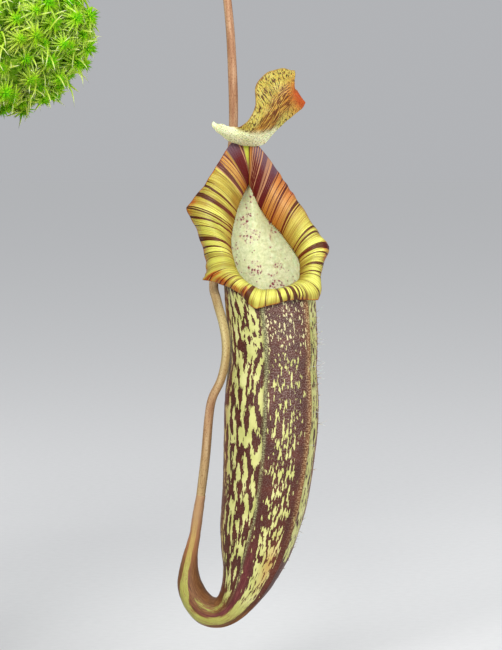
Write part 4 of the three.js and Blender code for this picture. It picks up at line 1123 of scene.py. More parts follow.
def flecked_lid():
    """The thin lid: cream below its fold, streaked red-brown in it, straw yellow with dark flecks
    above it, and scorched orange towards its right tip."""
    material, add = new_material("flecked_lid")
    place = add("TexCoord", {}, "UV")
    names = ("cream", "crease", "olive", "tip", "margin")
    marks = {name: add("Attribute", {}, "Fac", attribute_name=name) for name in names}
    cloud = add("TexNoise", {"Vector": place, "Scale": per_mm(5), "Detail": 3})
    wander = add("TexNoise", {"Vector": place, "Scale": per_mm(2), "Detail": 2}, "Color")
    bend = add("VectorMath", {0: wander, 1: (0.5, 0.5, 0.5)}, operation="SUBTRACT")
    moved = add("VectorMath", {0: bend, 1: (MM, MM, 0), 2: place}, operation="MULTIPLY_ADD")
    rising = add("Mapping", {"Vector": moved, "Scale": (per_mm(0.42), per_mm(1.9), 1)})
    rising_flecks = add("TexNoise", {"Vector": rising, "Scale": 1, "Detail": 2})
    level = add("Mapping", {"Vector": moved, "Scale": (per_mm(3.4), per_mm(0.5), 1)})
    level_flecks = add("TexNoise", {"Vector": level, "Scale": 1, "Detail": 3})
    grainy = add("TexNoise", {"Vector": place, "Scale": per_mm(0.55), "Detail": 1})
    straw = add("ValToRGB", {0: cloud}, stops=[(0.3, "aa973c"), (0.5, "bfae50"), (0.7, "d2c66e")])
    amber = add("ValToRGB", {0: cloud}, stops=[(0.3, "ae7e2c"), (0.55, "c09844"), (0.75, "d0b45e")])
    cream = add("ValToRGB", {0: cloud}, stops=[(0.3, "e9ecb2"), (0.5, "f4f7c6"), (0.7, "fcfdd8")])
    glow = [(0.15, "bf9640"), (0.4, "c4802c"), (0.75, "c06a26"), (1, "b4511e")]
    fire = add("ValToRGB", {0: marks["tip"]}, stops=glow)
    rising_share = add("MapRange", {0: rising_flecks, 1: 0.53, 2: 0.57})
    level_share = add("MapRange", {0: level_flecks, 1: 0.47, 2: 0.5})
    fleck = add("Mix", {0: marks["crease"], 2: rising_share, 3: level_share}, data_type="FLOAT")
    freckle = add("MapRange", {0: grainy, 1: 0.56, 2: 0.62, 3: 0, 4: 0.5})
    speck = add("MapRange", {0: grainy, 1: 0.55, 2: 0.6, 3: 0, 4: 0.8})
    # Dark flecks and brown freckles thin out towards the cream part and the tip
    part_tip = add("Math", {0: marks["tip"], 1: 0.75}, operation="MULTIPLY")
    plain = add("Math", {0: marks["cream"], 1: part_tip}, operation="MAXIMUM")
    allowed = add("MapRange", {0: plain, 1: 0.4, 2: 0.97, 3: 0.92, 4: 0})
    limits = [(fleck, allowed), (freckle, allowed), (speck, marks["cream"])]
    fleck, freckle, speck = (add("Math", {0: a, 1: b}, operation="MULTIPLY") for a, b in limits)
    ink = add("Mix", {0: marks["crease"], 6: "40220e", 7: "54200c"}, 2, data_type="RGBA")
    layers = [
        (marks["crease"], amber),
        (marks["olive"], "c9be5c"),
        (marks["cream"], cream),
        (marks["tip"], fire),
        (fleck, ink),
        (freckle, "8a5a26"),
        (speck, "77762f"),
        (marks["margin"], "8f6a30"),
    ]
    skin = straw
    for share, colour in layers:
        skin = add("Mix", {0: share, 6: skin, 7: colour}, 2, data_type="RGBA")
    relief = add("Bump", {"Height": cloud, "Distance": 0.4 * MM, "Strength": 0.4})
    look = {"Base Color": skin, "Roughness": 0.5, "Normal": relief, "Specular IOR Level": 0.2}
    look |= {"Subsurface Weight": 0.2, "Subsurface Scale": 1.2 * MM}
    add("OutputMaterial", {"Surface": add("BsdfPrincipled", look)})
    return material


def backdrop_paper():
    """Matt pale studio paper."""
    material, add = new_material("backdrop_paper")
    place = add("TexCoord", {}, "Object")
    grain = add("TexNoise", {"Vector": place, "Scale": per_mm(4), "Detail": 2})
    skin = add("ValToRGB", {0: grain}, stops=[(0.3, "cbcbca"), (0.7, "cfcfce")])
    # The paper glows by what it doesn't return of the sky's light, so no horizon shows
    glow = {"Emission Color": SKY_COLOUR, "Emission Strength": SKY_STRENGTH * (1 - PAPER_WHITENESS)}
    look = {"Base Color": skin, "Roughness": 0.9, "Specular IOR Level": 0} | glow
    add("OutputMaterial", {"Surface": add("BsdfPrincipled", look)})
    return material


# Pot and growing medium


def pot_profile():
    """Radius and height along the pot's wall: out over the base, up the outside, down the inside."""
    rim_foot = POT_HEIGHT - POT_RIM_DEPTH
    wall_top = POT_RIM_RADIUS - POT_RIM_STEP
    return [
        # The base's raised middle, and the flat ring that the pot stands on
        (0, 0.8),
        (DRAIN_RING_RADIUS - 12, 0.8),
        (DRAIN_RING_RADIUS - 10, 0),
        (POT_BASE_RADIUS - 4, 0),
        (POT_BASE_RADIUS - 1.2, 1.2),
        # A low band, and the wall up to the groove under the rim
        (POT_BASE_RADIUS, 4),
        (POT_BASE_RADIUS + 1.2, 18),
        (POT_BASE_RADIUS + 0.6, 20),
        (wall_top - 0.8, rim_foot - 12),
        (wall_top, rim_foot - 8),
        (wall_top, rim_foot),
        # The rim
        (POT_RIM_RADIUS - 0.8, rim_foot + 0.2),
        (POT_RIM_RADIUS, rim_foot + 1.4),
        (POT_RIM_RADIUS, POT_HEIGHT - 2),
        (POT_RIM_RADIUS - 1.1, POT_HEIGHT),
        (POT_RIM_RADIUS - POT_WALL, POT_HEIGHT - 0.4),
        (POT_RIM_RADIUS - POT_WALL, rim_foot + POT_WALL),
        # The inside
        (wall_top - POT_WALL, rim_foot + POT_WALL - 1),
        (POT_BASE_RADIUS - POT_WALL, POT_WALL),
        (0, POT_WALL),
    ]


def drill_drain_holes(pot):
    form = bmesh.new()
    for hole in range(DRAIN_COUNT):
        spot = around(hole * 360 / DRAIN_COUNT, DRAIN_RING_RADIUS, 0) * MM
        bmesh.ops.create_cone(
            form,
            cap_ends=True,
            segments=24,
            radius1=DRAIN_RADIUS * MM,
            radius2=DRAIN_RADIUS * MM,
            depth=POT_WALL * 5 * MM,
            matrix=Matrix.Translation(spot),
        )
    drill = bpy.data.objects.new("drills", new_mesh("drills", form))
    bpy.context.scene.collection.objects.link(drill)
    cut = pot.modifiers.new("drain_holes", "BOOLEAN")
    cut.object = drill
    cut.solver = "EXACT"
    bpy.context.view_layer.update()
    drilled = bpy.data.meshes.new_from_object(pot.evaluated_get(bpy.context.evaluated_depsgraph_get()))
    pot.modifiers.clear()
    pot.data = drilled
    bpy.data.objects.remove(drill)


def make_pot():
    form = bmesh.new()
    corners = [form.verts.new((radius * MM, 0, height * MM)) for radius, height in pot_profile()]
    edges = [form.edges.new(pair) for pair in zip(corners, corners[1:])]
    bmesh.ops.spin(
        form,
        geom=corners + edges,
        cent=(0, 0, 0),
        axis=(0, 0, 1),
        angle=2 * math.pi,
        steps=POT_STEPS,
        use_merge=True,
    )
    bmesh.ops.remove_doubles(form, verts=form.verts, dist=1e-6)
    bmesh.ops.recalc_face_normals(form, faces=form.faces)
    mesh = new_mesh("nursery_pot", form)
    pot = new_object("nursery_pot", mesh, [moulded_pot_plastic()], ["pot"])
    drill_drain_holes(pot)
    rounded = pot.modifiers.new("soft_edges", "BEVEL")
    rounded.width = POT_EDGE_ROUNDING * MM
    rounded.segments = 2
    rounded.limit_method = "ANGLE"
    rounded.angle_limit = math.radians(28)
    rounded.harden_normals = True


def finish_growing_medium():
    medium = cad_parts["growing_medium"]
    medium.data.materials.clear()
    medium.data.materials.append(damp_bark_mix())


# Stem

stem_line = smooth_line(STEM_LINE)


def stem_centre(height):
    shares = np.linspace(0, 1, 400)
    return stem_line(np.interp(height, stem_line(shares)[:, 2], shares))


def stem_radius(height):
    taper = smoothstep(height, STEM_TAPER_FROM, STEM_LINE[-1][2])
    return STEM_RADIUS + (STEM_TIP_RADIUS - STEM_RADIUS) * taper


def make_stem():
    low, high = STEM_LINE[0][2], STEM_LINE[-1][2]
    scar_drop, scar_half, scar_height = LEAF_SCAR
    scars = [(leaf["height"] - scar_drop, scar_half, scar_height) for leaf in LEAVES]

    def radius_at(along, angle):
        height = low + (high - low) * along
        return stem_radius(height) + bumps(height, scars) + 0.15 * np.sin(angle * 5 + height * 0.15)

    marks = {"height": lambda turn, along: along}
    mesh = tube("climbing_stem", *STEM_GRID, stem_line, radius_at, marks)
    new_object("climbing_stem", mesh, [vine_stem()], ["stem"])


# Leaves


def leaf_spine(leaf):
    """The arched middle of a leaf, from the stem to its tip."""
    start = stem_centre(leaf["height"])
    start = start + around(leaf["azimuth"], stem_radius(leaf["height"]) + LEAF_SEAT, 0)
    rise = around(leaf["azimuth"], leaf["reach"] * 0.3, leaf["height"] + leaf["arch"])
    crest = around(leaf["azimuth"], leaf["reach"] * 0.74, leaf["tip"] + leaf["arch"] * 0.85)
    tip = around(leaf["azimuth"], leaf["reach"], leaf["tip"])

    def at(share):
        t = np.asarray(share, float)[..., None]
        return start * (1 - t) ** 3 + 3 * rise * (1 - t) ** 2 * t + 3 * crest * (1 - t) * t**2 + tip * t**3

    return at


def leaf_end(leaf):
    """The tip of a leaf and the way its midrib leaves it."""
    spine = leaf_spine(leaf)
    return spine(1.0), unit(spine(1.0) - spine(0.999))


def leaf_half_width(leaf, along):
    petiole = np.maximum(4.6 - along * 3, 1.5)
    blade = np.sin(np.pi * np.clip((along - 0.1) / 0.9, 0, 1) ** 0.9)
    return np.maximum(petiole, leaf["width"] / 2 * np.maximum(blade, 0) ** 0.72)


def make_leaf(number, leaf, material):
    spine, length = even_line(leaf_spine(leaf))
    side = around(leaf["azimuth"] + 90, 1, 0)

    def surface(along, across):
        spread = 2 * across - 1
        ahead = unit(spine(np.minimum(along + 0.004, 1)) - spine(np.maximum(along - 0.004, 0)))
        up = unit(np.cross(ahead, side))
        half = leaf_half_width(leaf, along)
        gutter = half * 0.26 * np.abs(spread) ** 1.4
        wave = half * 0.07 * spread**2 * np.sin(along * 17 + leaf["wave"] + spread)
        ruffle = 0.5 * spread**4 * np.sin(along * 61 + leaf["wave"] * 3 + spread * 2)
        lift = (gutter + wave + ruffle)[..., None]
        return spine(along) + side * (spread * half)[..., None] + up * lift

    def half_thickness(along, across, face):
        distance = (2 * across - 1) * leaf_half_width(leaf, along)
        keel = np.where(face < 0, 1.5, -0.25) * bump(distance, 0, 1.5) * edge_fade(along, 30)
        return (LEAF_THICKNESS / 2 * edge_fade(across, 10) + keel) * edge_fade(along, 60)

    marks = {"along": lambda along, across: along, "across": lambda along, across: 2 * across - 1}
    name = f"strap_leaf_{number}"
    columns = int(length / LEAF_COLUMN)
    rows = LEAF_ROWS if leaf["width"] > SMALL_LEAF_WIDTH else SMALL_LEAF_ROWS
    size = (length, leaf["width"])
    mesh = thick_sheet(name, columns, rows, surface, half_thickness, marks, size)
    new_object(name, mesh, [material], [f"leaf_{number}"])


# Pitchers


def tilted_normal(tilt, turn):
    """Which way a mouth faces that is tilted forwards and then turned right."""
    return np.array([math.sin(turn) * math.sin(tilt), -math.cos(turn) * math.sin(tilt), math.cos(tilt)])


mouth_centre = np.array(MOUTH_CENTRE, float)
mouth_normal = tilted_normal(math.radians(MOUTH_TILT), math.radians(MOUTH_TURN))


def lip_point(x, z):
    """The point of the mouth's plane with this x and z."""
    offset = mouth_normal[0] * (x - mouth_centre[0]) + mouth_normal[2] * (z - mouth_centre[2])
    return (x, mouth_centre[1] - offset / mouth_normal[1], z)


lip_line = smooth_line([lip_point(x, z) for x, z, *_ in MOUTH_STATIONS], closed=True)
flare_line = smooth_line([station[2:] for station in MOUTH_STATIONS], closed=True)


def collar_surface(share, across):
    """The middle of the collar's band, from the inner lip (across 0) to the flared edge (1)."""
    lip, flare = lip_line(share), flare_line(share)
    high = smoothstep(flare[..., 2], *CROWN_FADES)
    crown = COLLAR_CROWN + (COLLAR_CROWN_AT_NECK - COLLAR_CROWN) * high
    lift = 4 * across * (1 - across) * crown - (1 - high) * LIP_ROLL * (1 - across) ** 3
    return lip + (flare - lip) * across[..., None] + lift[..., None] * mouth_normal


def collar_normal(share, across):
    step = 0.004
    ahead = collar_surface(share + step, across) - collar_surface(share - step, across)
    outward = collar_surface(share, np.minimum(across + 0.05, 1))
    inward = collar_surface(share, np.maximum(across - 0.05, 0))
    normal = unit(np.cross(ahead, outward - inward))
    return normal * np.where(normal @ mouth_normal < 0, -1, 1)[..., None]


def in_place(pitcher):
    """Turns points of a pitcher's own frame into points beside the pot."""
    angle = math.radians(pitcher["turn"])
    turned = np.array([
        [math.cos(angle), math.sin(angle), 0],
        [-math.sin(angle), math.cos(angle), 0],
        [0, 0, 1],
    ])
    hook = np.array(TENDRIL_ROUTE[-1]) * pitcher["size"] @ turned
    start = around(pitcher["azimuth"], pitcher["reach"], pitcher["height"]) - hook
    return lambda points: np.asarray(points, float) * pitcher["size"] @ turned + start


def striped(rows):
    """The formula of a mark for stripes. Each stripe is narrowest at the lip."""

    def strongest(place, across):
        total = np.zeros_like(place)
        for lip, middle, edge, half, strength in rows:
            spot = lip * (1 - across) * (1 - 2 * across) + middle * 4 * across * (1 - across)
            spot = spot + edge * across * (2 * across - 1)
            wide = half * (0.8 + 0.35 * across)
            apart = np.abs(place - spot)
            total = np.maximum(total, strength * faded(apart, wide * 0.7, wide * 1.3 + 0.01))
        return total

    return strongest


def orange_part(place, across):
    right = 0.35 * smoothstep(place, 16.9, 17.9) + 0.65 * smoothstep(place, 17.7, 18.4)
    right = right * faded(place, 21.6, 21.8)
    left = smoothstep(place, 1.4, 1.5) * faded(place, 1.95, 2.1)
    return np.maximum(right, left * (1 - 0.3 * across))


def ruby_part(place, across):
    left = smoothstep(place, 0.3 + 0.35 * across, 0.4 + 0.35 * across) * faded(place, 1.4, 1.5)
    right = smoothstep(place, 19.7, 19.8) * faded(place, 21.04, 21.12)
    return np.maximum(left, right)


def gold_and_lip_shade_part(place, across):
    parts = []
    for middle, half, strength, start, end in GOLDEN:
        part = strength * bump(place, middle, half) * smoothstep(across, start - 0.1, start + 0.1)
        parts.append(part * faded(across, end - 0.15, end + 0.15))
    # Painted shade along the inner lip, stronger on the sides than at the front
    lip = faded(across, 0.05, 0.35) * np.where((place < 6) | (place > 14), 0.75, 0.3)
    edge = 0.4 * smoothstep(across, 0.7, 0.95)
    return np.max([*parts, lip, edge], axis=0)


def pale_band_and_highlight_part(place, across):
    """A paler band along the collar's roll, widest at the front right: partly the collar's own paler tone,
    partly a painted highlight where the light falls on the roll.
    """
    # The front right is paler still: painted highlight where the light falls
    front_right = smoothstep(place, 9, 12) * faded(place, 16, 18)
    return bump(across, 0.6, 0.25) * (0.35 + 0.4 * front_right)


def scorched_part(place, across):
    parts = [0.75 * smoothstep(across, 0.95, 0.99) * faded(place, 19, 20)]
    for middle, half, strength, start in SCORCHED:
        parts.append(strength * bump(place, middle, half) * smoothstep(across, start - 0.1, start + 0.12))
    return np.max(parts, axis=0)


def from_neck(place):
    return np.minimum(place, len(MOUTH_STATIONS) - place)


# The collar's marks, by the station and the share across the band
collar_marks = {
    "stripe": striped(STRIPES),
    "pale_line": striped(PALE_LINES),
    "orange": orange_part,
    "gold_and_lip_shade": gold_and_lip_shade_part,
    "pale_band_and_highlight": pale_band_and_highlight_part,
    "scorched": scorched_part,
    "lined": lambda place, across: np.maximum(bumps(place, LINED), 0.45),
    "ruby": ruby_part,
    "neck": lambda place, across: faded(from_neck(place), 0.55, 0.7),
    "lime": lambda place, across: faded(from_neck(place), 0.3, 0.38) * smoothstep(across, 0.3, 0.6),
    # Near the neck, where the stripes take a painted plum sheen
    "high": lambda place, across: faded(from_neck(place), 1.2, 3.4),
    "across": lambda place, across: across,
}


def make_collar(pitcher, material):
    put = in_place(pitcher)
    stations = len(MOUTH_STATIONS)
    columns, rows = COLLAR_GRIDS[pitcher["fineness"]]
    shares = np.linspace(0, 1, 2001)
    distance = travelled(collar_surface(shares, np.full(2001, 0.6)))

    def share_at(spot):
        """Columns lie evenly along the collar's middle."""
        return np.interp(spot, distance / distance[-1], shares)

    def shape(spot, turn):
        share = share_at(spot)
        place = share * stations
        across = across_share(turn)
        front = turn < 0.5
        ridge = np.cos(2 * np.pi * (columns // COLUMNS_PER_RIB) * spot)
        flare, lip = flare_line(share), lip_line(share)
        low = faded(flare[:, 2], *EDGE_ROLL_FADES)
        half = COLLAR_THICKNESS / 2 * edge_fade(across, 14) * (1 - 0.6 * smoothstep(across, 0.6, 1))
        fluted = RIB_DEPTH * ridge * front * edge_fade(across, 4)
        folds = 0.2 * np.sin(place * 4.3) * np.sin(np.pi * across) + 0.2 * across**6 * np.sin(place * 9.7)
        rolled = -EDGE_ROLL * smoothstep(across, 0.8, 1) * low
        lift = np.where(front, half, -half) + fluted + folds + rolled
        teeth = TOOTH_LENGTH * ridge * (1 - across) ** 14
        reach = np.interp(place, *zip(*EDGE_REACH))
        for station, half_width, corner in EDGE_CORNERS:
            reach = reach + corner * np.exp(-np.abs(place - station) / half_width)
        point = collar_surface(share, across) + collar_normal(share, across) * lift[:, None]
        return put(point + unit(flare - lip) * (reach * across**3 - teeth)[:, None])

    def on_band(formula):
        return lambda spot, turn: formula(share_at(spot) * stations, across_share(turn))

    marks = {name: on_band(formula) for name, formula in collar_marks.items()}
    marks["front"] = lambda spot, turn: turn < 0.5
    mesh = shaped_grid(
        f"striped_collar_{pitcher['leaf']}",
        columns,
        rows,
        shape,
        marks,
        lambda u, v: (u * COLLAR_LENGTH, across_share(v) * COLLAR_WIDTH),
    )
    new_object(mesh.name, mesh, [material], [f"pitcher_{pitcher['leaf']}_peristome"])


cup_axis = smooth_line([row[:3] for row in CUP_AXIS])
cup_radius = smooth_line([row[3:] for row in CUP_AXIS])
neck_top = np.array(NECK_TOP)


def cup_ring(place, angle, inset):
    """A point of the cup's wall, by the share of its axis and degrees to the right of the front."""
    centre = cup_axis(place)
    ahead = unit(cup_axis(np.minimum(place + 1e-4, 1)) - cup_axis(np.maximum(place - 1e-4, 0)))
    forward = unit(np.array([0, -1, 0]) + ahead * ahead[..., 1:2])
    right = unit(np.cross(forward, ahead))
    turned = np.radians(angle + TAIL_TWIST * smoothstep(place, *TWIST_SPAN))[..., None]
    radius = cup_radius(place) - np.asarray(inset)[..., None]
    return centre + (forward * np.cos(turned) + right * np.sin(turned)) * radius


def rim_point(angle, inset):
    """Where the wall ends under the collar, in a direction seen from above."""
    shares = np.linspace(0, 1, 1440, endpoint=False)
    width = np.linalg.norm(flare_line(shares) - lip_line(shares), axis=1)
    below = -(COLLAR_THICKNESS / 2 + RIM_GAP)
    across = np.full(len(shares), RIM_PLACE)
    outer = collar_surface(shares, across) + collar_normal(shares, across) * below
    directions = np.degrees(np.arctan2(outer[:, 0] - mouth_centre[0], -outer[:, 1]))
    across = RIM_PLACE - inset / width
    points = collar_surface(shares, across) + collar_normal(shares, across) * below
    wanted = np.arange(-180, 180)
    ring = points[np.abs((directions[None, :] - wanted[:, None] + 180) % 360 - 180).argmin(axis=1)]
    for _ in range(4):
        ring = (np.roll(ring, 1, axis=0) + 2 * ring + np.roll(ring, -1, axis=0)) / 4
    neck_angle = math.degrees(math.atan2(neck_top[0] - mouth_centre[0], -neck_top[1]))
    near_neck = bump((wanted - neck_angle + 180) % 360 - 180, 0, NECK_HALF_WIDTH)[:, None]
    ring = ring * (1 - near_neck) + (neck_top - np.array([0, inset, 0])) * near_neck
    spot = (angle + 180) % 360
    first = np.floor(spot).astype(int)
    part = (spot - first)[..., None]
    return ring[first % 360] * (1 - part) + ring[(first + 1) % 360] * part


def collar_wall(share, angle, inset):
    """The wall between the rim (share 0) and the top of the cup's axis (share 1)."""
    top = rim_point(angle, inset)
    foot = cup_ring(np.zeros_like(share), angle, inset)
    radians = np.radians(angle)
    bend = np.stack([
        BULGE_CENTRE_X + np.sin(radians) * (BULGE_RADIUS - inset),
        -np.cos(radians) * (BULGE_RADIUS - inset),
        foot[:, 2] + (top[:, 2] - foot[:, 2]) * BULGE_SHARE,
    ], axis=1)
    t = share[:, None]
    return top * (1 - t) ** 2 + 2 * bend * (1 - t) * t + foot * t**2


def left_rib_angle(place):
    return np.interp(place, *zip(*LEFT_RIB))


def right_rib_angle(place):
    return RIGHT_RIB_ANGLE - RIGHT_RIB_LEAN * smoothstep(place, 0.05, 0.3)


def in_panel(angle, place):
    return within(angle, left_rib_angle(place), right_rib_angle(place), 1)


def in_yellow_band(angle, place):
    """The tail's yellow band: the panel's spots run together, and cross the curl to its left."""
    places, lefts, rights = zip(*YELLOW_BAND)
    return within(angle, np.interp(place, places, lefts), np.interp(place, places, rights), 6)


def crimson_band(angle, wall, place):
    places, middles, halves = zip(*CRIMSON_BAND)
    width = np.interp(place, places, halves)
    band = bump(angle, np.interp(place, places, middles), width) * (width > 0.5)
    return band * smoothstep(place, 0.2, 0.33) * (1 - 0.5 * smoothstep(place, 0.52, 0.7))


def blotch_cover(angle, wall, place):
    """The share of the wall that its yellow-green blotches cover."""
    lower = 0.5 * smoothstep(wall, 0.6, 1) + 0.5 * smoothstep(place, 0, 0.12)
    crowded = within(angle, 3 - 2 * lower, 36, 5)
    crowding = 0.12 * smoothstep(place, 0.02, 0.16) + 0.26 * smoothstep(place, 0.17, 0.32)
    spotted = 0.25 + 0.03 * smoothstep(wall, 0.6, 1) + 0.14 * bump(angle, left_rib_angle(place) + 3, 2.5)
    spotted = spotted + crowding * crowded - 0.28 * lower * (1 - crowded)
    left_side = 0.47 + 0.05 * bump(angle, -30, 20) - 0.04 * smoothstep(place, 0.05, 0.3)
    left_side = left_side - 0.03 * smoothstep(place, 0, 0.1) - 0.15 * faded(angle, -88, -66)
    # Past about 75 degrees the blotches give way to dark wall: painted shade where the wall turns away from
    # the light
    right_side = 0.6 * faded(angle, 74, 84) + 0.5 * smoothstep(angle, 110, 140)
    right_side = right_side * faded(place, 0.24, 0.34)
    inside = in_panel(angle, place)
    blotches = spotted * inside + np.where(angle > 30, right_side, left_side) * (1 - inside)
    streaked = 0.45 * bump(angle, -45, 14) * faded(place, 0.62, 0.7)
    banded = 0.08 + np.maximum(0.6 * in_yellow_band(angle, place), streaked)
    band_share = smoothstep(place, 0.32, 0.42)
    return blotches * (1 - band_share) + banded * band_share


def brown_and_side_shade_part(angle, wall, place):
    """Where the wall turns brown and its spots orange: right of the right rib, on the far left, and
    low in the panel. Right of the right rib this is also painted shade, where the wall turns away
    from the light."""
    right = smoothstep(angle, 72, 82) * faded(angle, 100, 130)
    left = 0.8 * faded(angle, -76, -56) * smoothstep(angle, -130, -110)
    low = 0.9 * bump(angle, 27, 11) * bump(place, 0.3, 0.06)
    return np.max([right, left, low], axis=0) * faded(place, 0.4, 0.5)


def left_rib(angle, wall, place):
    half = 2.6 - 1.2 * smoothstep(place, 0, 0.15)
    return bump(angle, left_rib_angle(place), half) * faded(place, 0.3, 0.46)


def right_rib(angle, wall, place):
    return 0.9 * bump(angle, right_rib_angle(place), 3.6) * faded(place, 0.14, 0.28)


# The cup's marks, by the angle, the share of the wall below the rim and the place on the axis
cup_marks = {
    "pale": blotch_cover,
    "panel": lambda angle, wall, place: np.maximum(in_panel(angle, place), (angle > 50) * 0.4),
    "dusty": lambda angle, wall, place: 0.18 + 0.8 * bump(angle, 22, 28) * faded(place, 0, 0.2),
    # Brown wall and orange spots; right of the right rib also painted shade
    "brown_and_side_shade": brown_and_side_shade_part,
    "high": lambda angle, wall, place: in_panel(angle, place) * faded(wall, 0.5, 1),
    "crimson": crimson_band,
    "tail": lambda angle, wall, place: smoothstep(place, 0.36, 0.5),
    "tan": lambda angle, wall, place: smoothstep(place, 0.76, 0.88),
    "end": lambda angle, wall, place: 0.85 * smoothstep(place, 0.84, 0.97),
    # Painted shade on the inner back wall near the rim, under the neck
    "painted_apex_shade": lambda angle, wall, place: 0.6 * faded(wall, 0.05, 0.3) * smoothstep(np.abs(angle), 100, 165),
    "left_rib": left_rib,
    "right_rib": right_rib,
}


def cup_rows(inside_share):
    """A cup's rows run from the tail up the outside, over the rim and down the inside. The formula
    that this returns says whether a row is outside, and its share of the wall, its place on the
    axis, and its distance below the rim, which is negative outside."""
    places = np.linspace(0, 1, 2000)
    distance = travelled(cup_axis(places))
    outside_length = WALL_ABOVE_AXIS + distance[-1]
    inside_length = WALL_ABOVE_AXIS + np.interp(CAVITY_END, places, distance)
    rim_row = 1 - inside_share

    def split(along):
        outside = along <= rim_row
        outer = (rim_row - along) / rim_row * outside_length
        inner = (along - rim_row) / (1 - rim_row) * inside_length
        below_rim = np.where(outside, outer, inner)
        wall = np.clip(below_rim / WALL_ABOVE_AXIS, 0, 1)
        place = np.interp(below_rim - WALL_ABOVE_AXIS, distance, places)
        return outside, wall, place, np.where(outside, -below_rim, below_rim)

    return split


def make_cup(pitcher, materials):
    put = in_place(pitcher)
    columns, rows = (int(count * pitcher["fineness"]) for count in CUP_GRID)
    split = cup_rows(round(rows * INSIDE_SHARE) / rows)

    def degrees(turn):
        return turn * 360 - 180

    def shape(turn, along):
        outside, wall, place, _ = split(along)
        angle = degrees(turn)
        outer_wall, inner_wall = (collar_wall(wall, angle, inset) for inset in (0, CUP_WALL))
        upper = np.where(outside[:, None], outer_wall, inner_wall)
        lower = cup_ring(place, angle, np.where(outside, 0, CUP_WALL))
        points = np.where((wall < 1)[:, None], upper, lower)
        middle = cup_axis(place)
        outward = unit((points - middle) * np.array([1, 1, 0.2]))
        fade = faded(place, 0.42, 0.62) * smoothstep(wall, 0, 0.25)
        ribbed = bump(angle, left_rib_angle(place), 2.6) + bump(angle, right_rib_angle(place), 3)
        swell = RIB_HEIGHT * ribbed * fade + 0.14 * waves(points, 15, 3) + 0.05 * waves(points, 3.5, 4)
        points = points + outward * (swell * outside)[:, None]
        ends = np.where(wall < 1, 1, edge_fade(along, 700))[:, None]
        return put(middle + (points - middle) * ends)

    def on_wall(formula):
        return lambda turn, along: formula(degrees(turn), *split(along)[1:3])

    mesh = shaped_grid(
        f"pitcher_cup_{pitcher['leaf']}",
        columns,
        rows,
        shape,
        {name: on_wall(formula) for name, formula in cup_marks.items()},
        lambda u, v: (u * CUP_GIRTH, split(v)[3]),
    )
    new_object(mesh.name, mesh, materials, [f"pitcher_{pitcher['leaf']}_cup"])
    # Faces whose map lies past the rim have the inner wall's finish
    heights = numbers(mesh.uv_layers["UVMap"].uv, "vector", 2)[:, 1]
    starts = np.empty(len(mesh.polygons), np.int32)
    mesh.polygons.foreach_get("loop_start", starts)
    inner = np.add.reduceat(heights, starts) > 0
    mesh.polygons.foreach_set("material_index", inner.astype(np.int32))


def lid_surface(along, across):
    """The lid's middle in a pitcher's own frame, ruffled along its lower and upper edges."""
    lower, fold, upper = (line(along) for line in lid_lines)
    below, above = 2 * lower - fold, 2 * upper - fold
    t = across[..., None] * 2
    first = catmull_rom(below, lower, fold, upper, t)
    second = catmull_rom(lower, fold, upper, above, t - 1)
    point = np.where(t < 1, first, second)
    frill = np.sin(along * 34 + across * 4) + 0.6 * np.sin(along * 71 + 1)
    ruffle = frill * (0.2 * (1 - across) ** 3 + 0.45 * across**3)
    moved = (ruffle + 0.25 * waves(point, 5, 8))[..., None]
    return point + np.array([0.25, -0.75, 0.5]) * moved


def cream_part(along, across):
    edge = np.interp(along, *zip(*LID_CREAM_EDGE))
    return faded(across, edge - 0.1, edge + 0.1)


def scorched_tip(along, across):
    reach = along + 0.1 * bump(across, 0.35, 0.3) - 0.12 * smoothstep(across, 0.5, 1)
    return smoothstep(reach, 0.56, 0.95)


lid_lines = [smooth_line([station[line] for station in LID_STATIONS]) for line in range(3)]
# The lid's marks, by the shares along and across it
lid_marks = {
    "cream": cream_part,
    "crease": lambda along, across: within(across, 0.24, 0.66, 0.09) * within(along, 0.32, 0.76, 0.07),
    "olive": lambda along, across: faded(across, 0.15, 0.4) * smoothstep(along, 0.45, 0.6),
    "tip": scorched_tip,
    "margin": lambda along, across: smoothstep(across, 0.95, 0.99) * (0.7 - 0.5 * cream_part(along, across)),
}


def make_lid(pitcher, material):
    put = in_place(pitcher)
    columns, rows = (int(count * pitcher["fineness"]) for count in LID_GRID)

    def surface(along, across):
        return put(lid_surface(along, across))

    def half_thickness(along, across, side):
        return LID_THICKNESS / 2 * pitcher["size"] * edge_fade(across, 10) * edge_fade(along, 40)

    name = f"pitcher_lid_{pitcher['leaf']}"
    size = (LID_LENGTH, LID_WIDTH)
    mesh = thick_sheet(name, columns, rows, surface, half_thickness, lid_marks, size)
    new_object(name, mesh, [material], [f"pitcher_{pitcher['leaf']}_lid"])


def make_cup_hairs(pitcher, material):
    """Long hairs and short down on the right flank, from the collar to halfway down."""
    put = in_place(pitcher)
    chance = np.random.default_rng(21)
    spike = upright_spike(2)
    form = spiky_form()
    for index in range(HAIR_COUNT):
        wall = np.array([chance.uniform(0.3, 1.0)])
        place = np.array([chance.uniform(0, 0.5) ** 1.5])
        angle = np.array([chance.uniform(*HAIR_ANGLES)])
        on_axis = chance.random() < 0.65
        foot = cup_ring(place, angle, np.zeros(1))[0] if on_axis else collar_wall(wall, angle, 0)[0]
        middle = cup_axis(place)[0] if on_axis else np.array([BULGE_CENTRE_X, 0, foot[2]])
        way = unit(foot - middle) + np.array([0, 0, chance.uniform(-0.2, 0.7)])
        length = chance.uniform(*LONG_HAIR) if index % 3 == 0 else chance.uniform(*SHORT_HAIR)
        length = length * (1.0 if foot[2] > 70 else 0.55) * pitcher["size"]
        start, end = put(foot), put(foot + way)
        grow_spike(form, spike, start, end - start, length, HAIR_WIDTH, chance.uniform(-0.3, 0.3), (0.1, 1))
    name = f"cup_hairs_{pitcher['leaf']}"
    new_object(name, new_mesh(name, form), [material])
    bpy.data.meshes.remove(spike)


# Tendrils


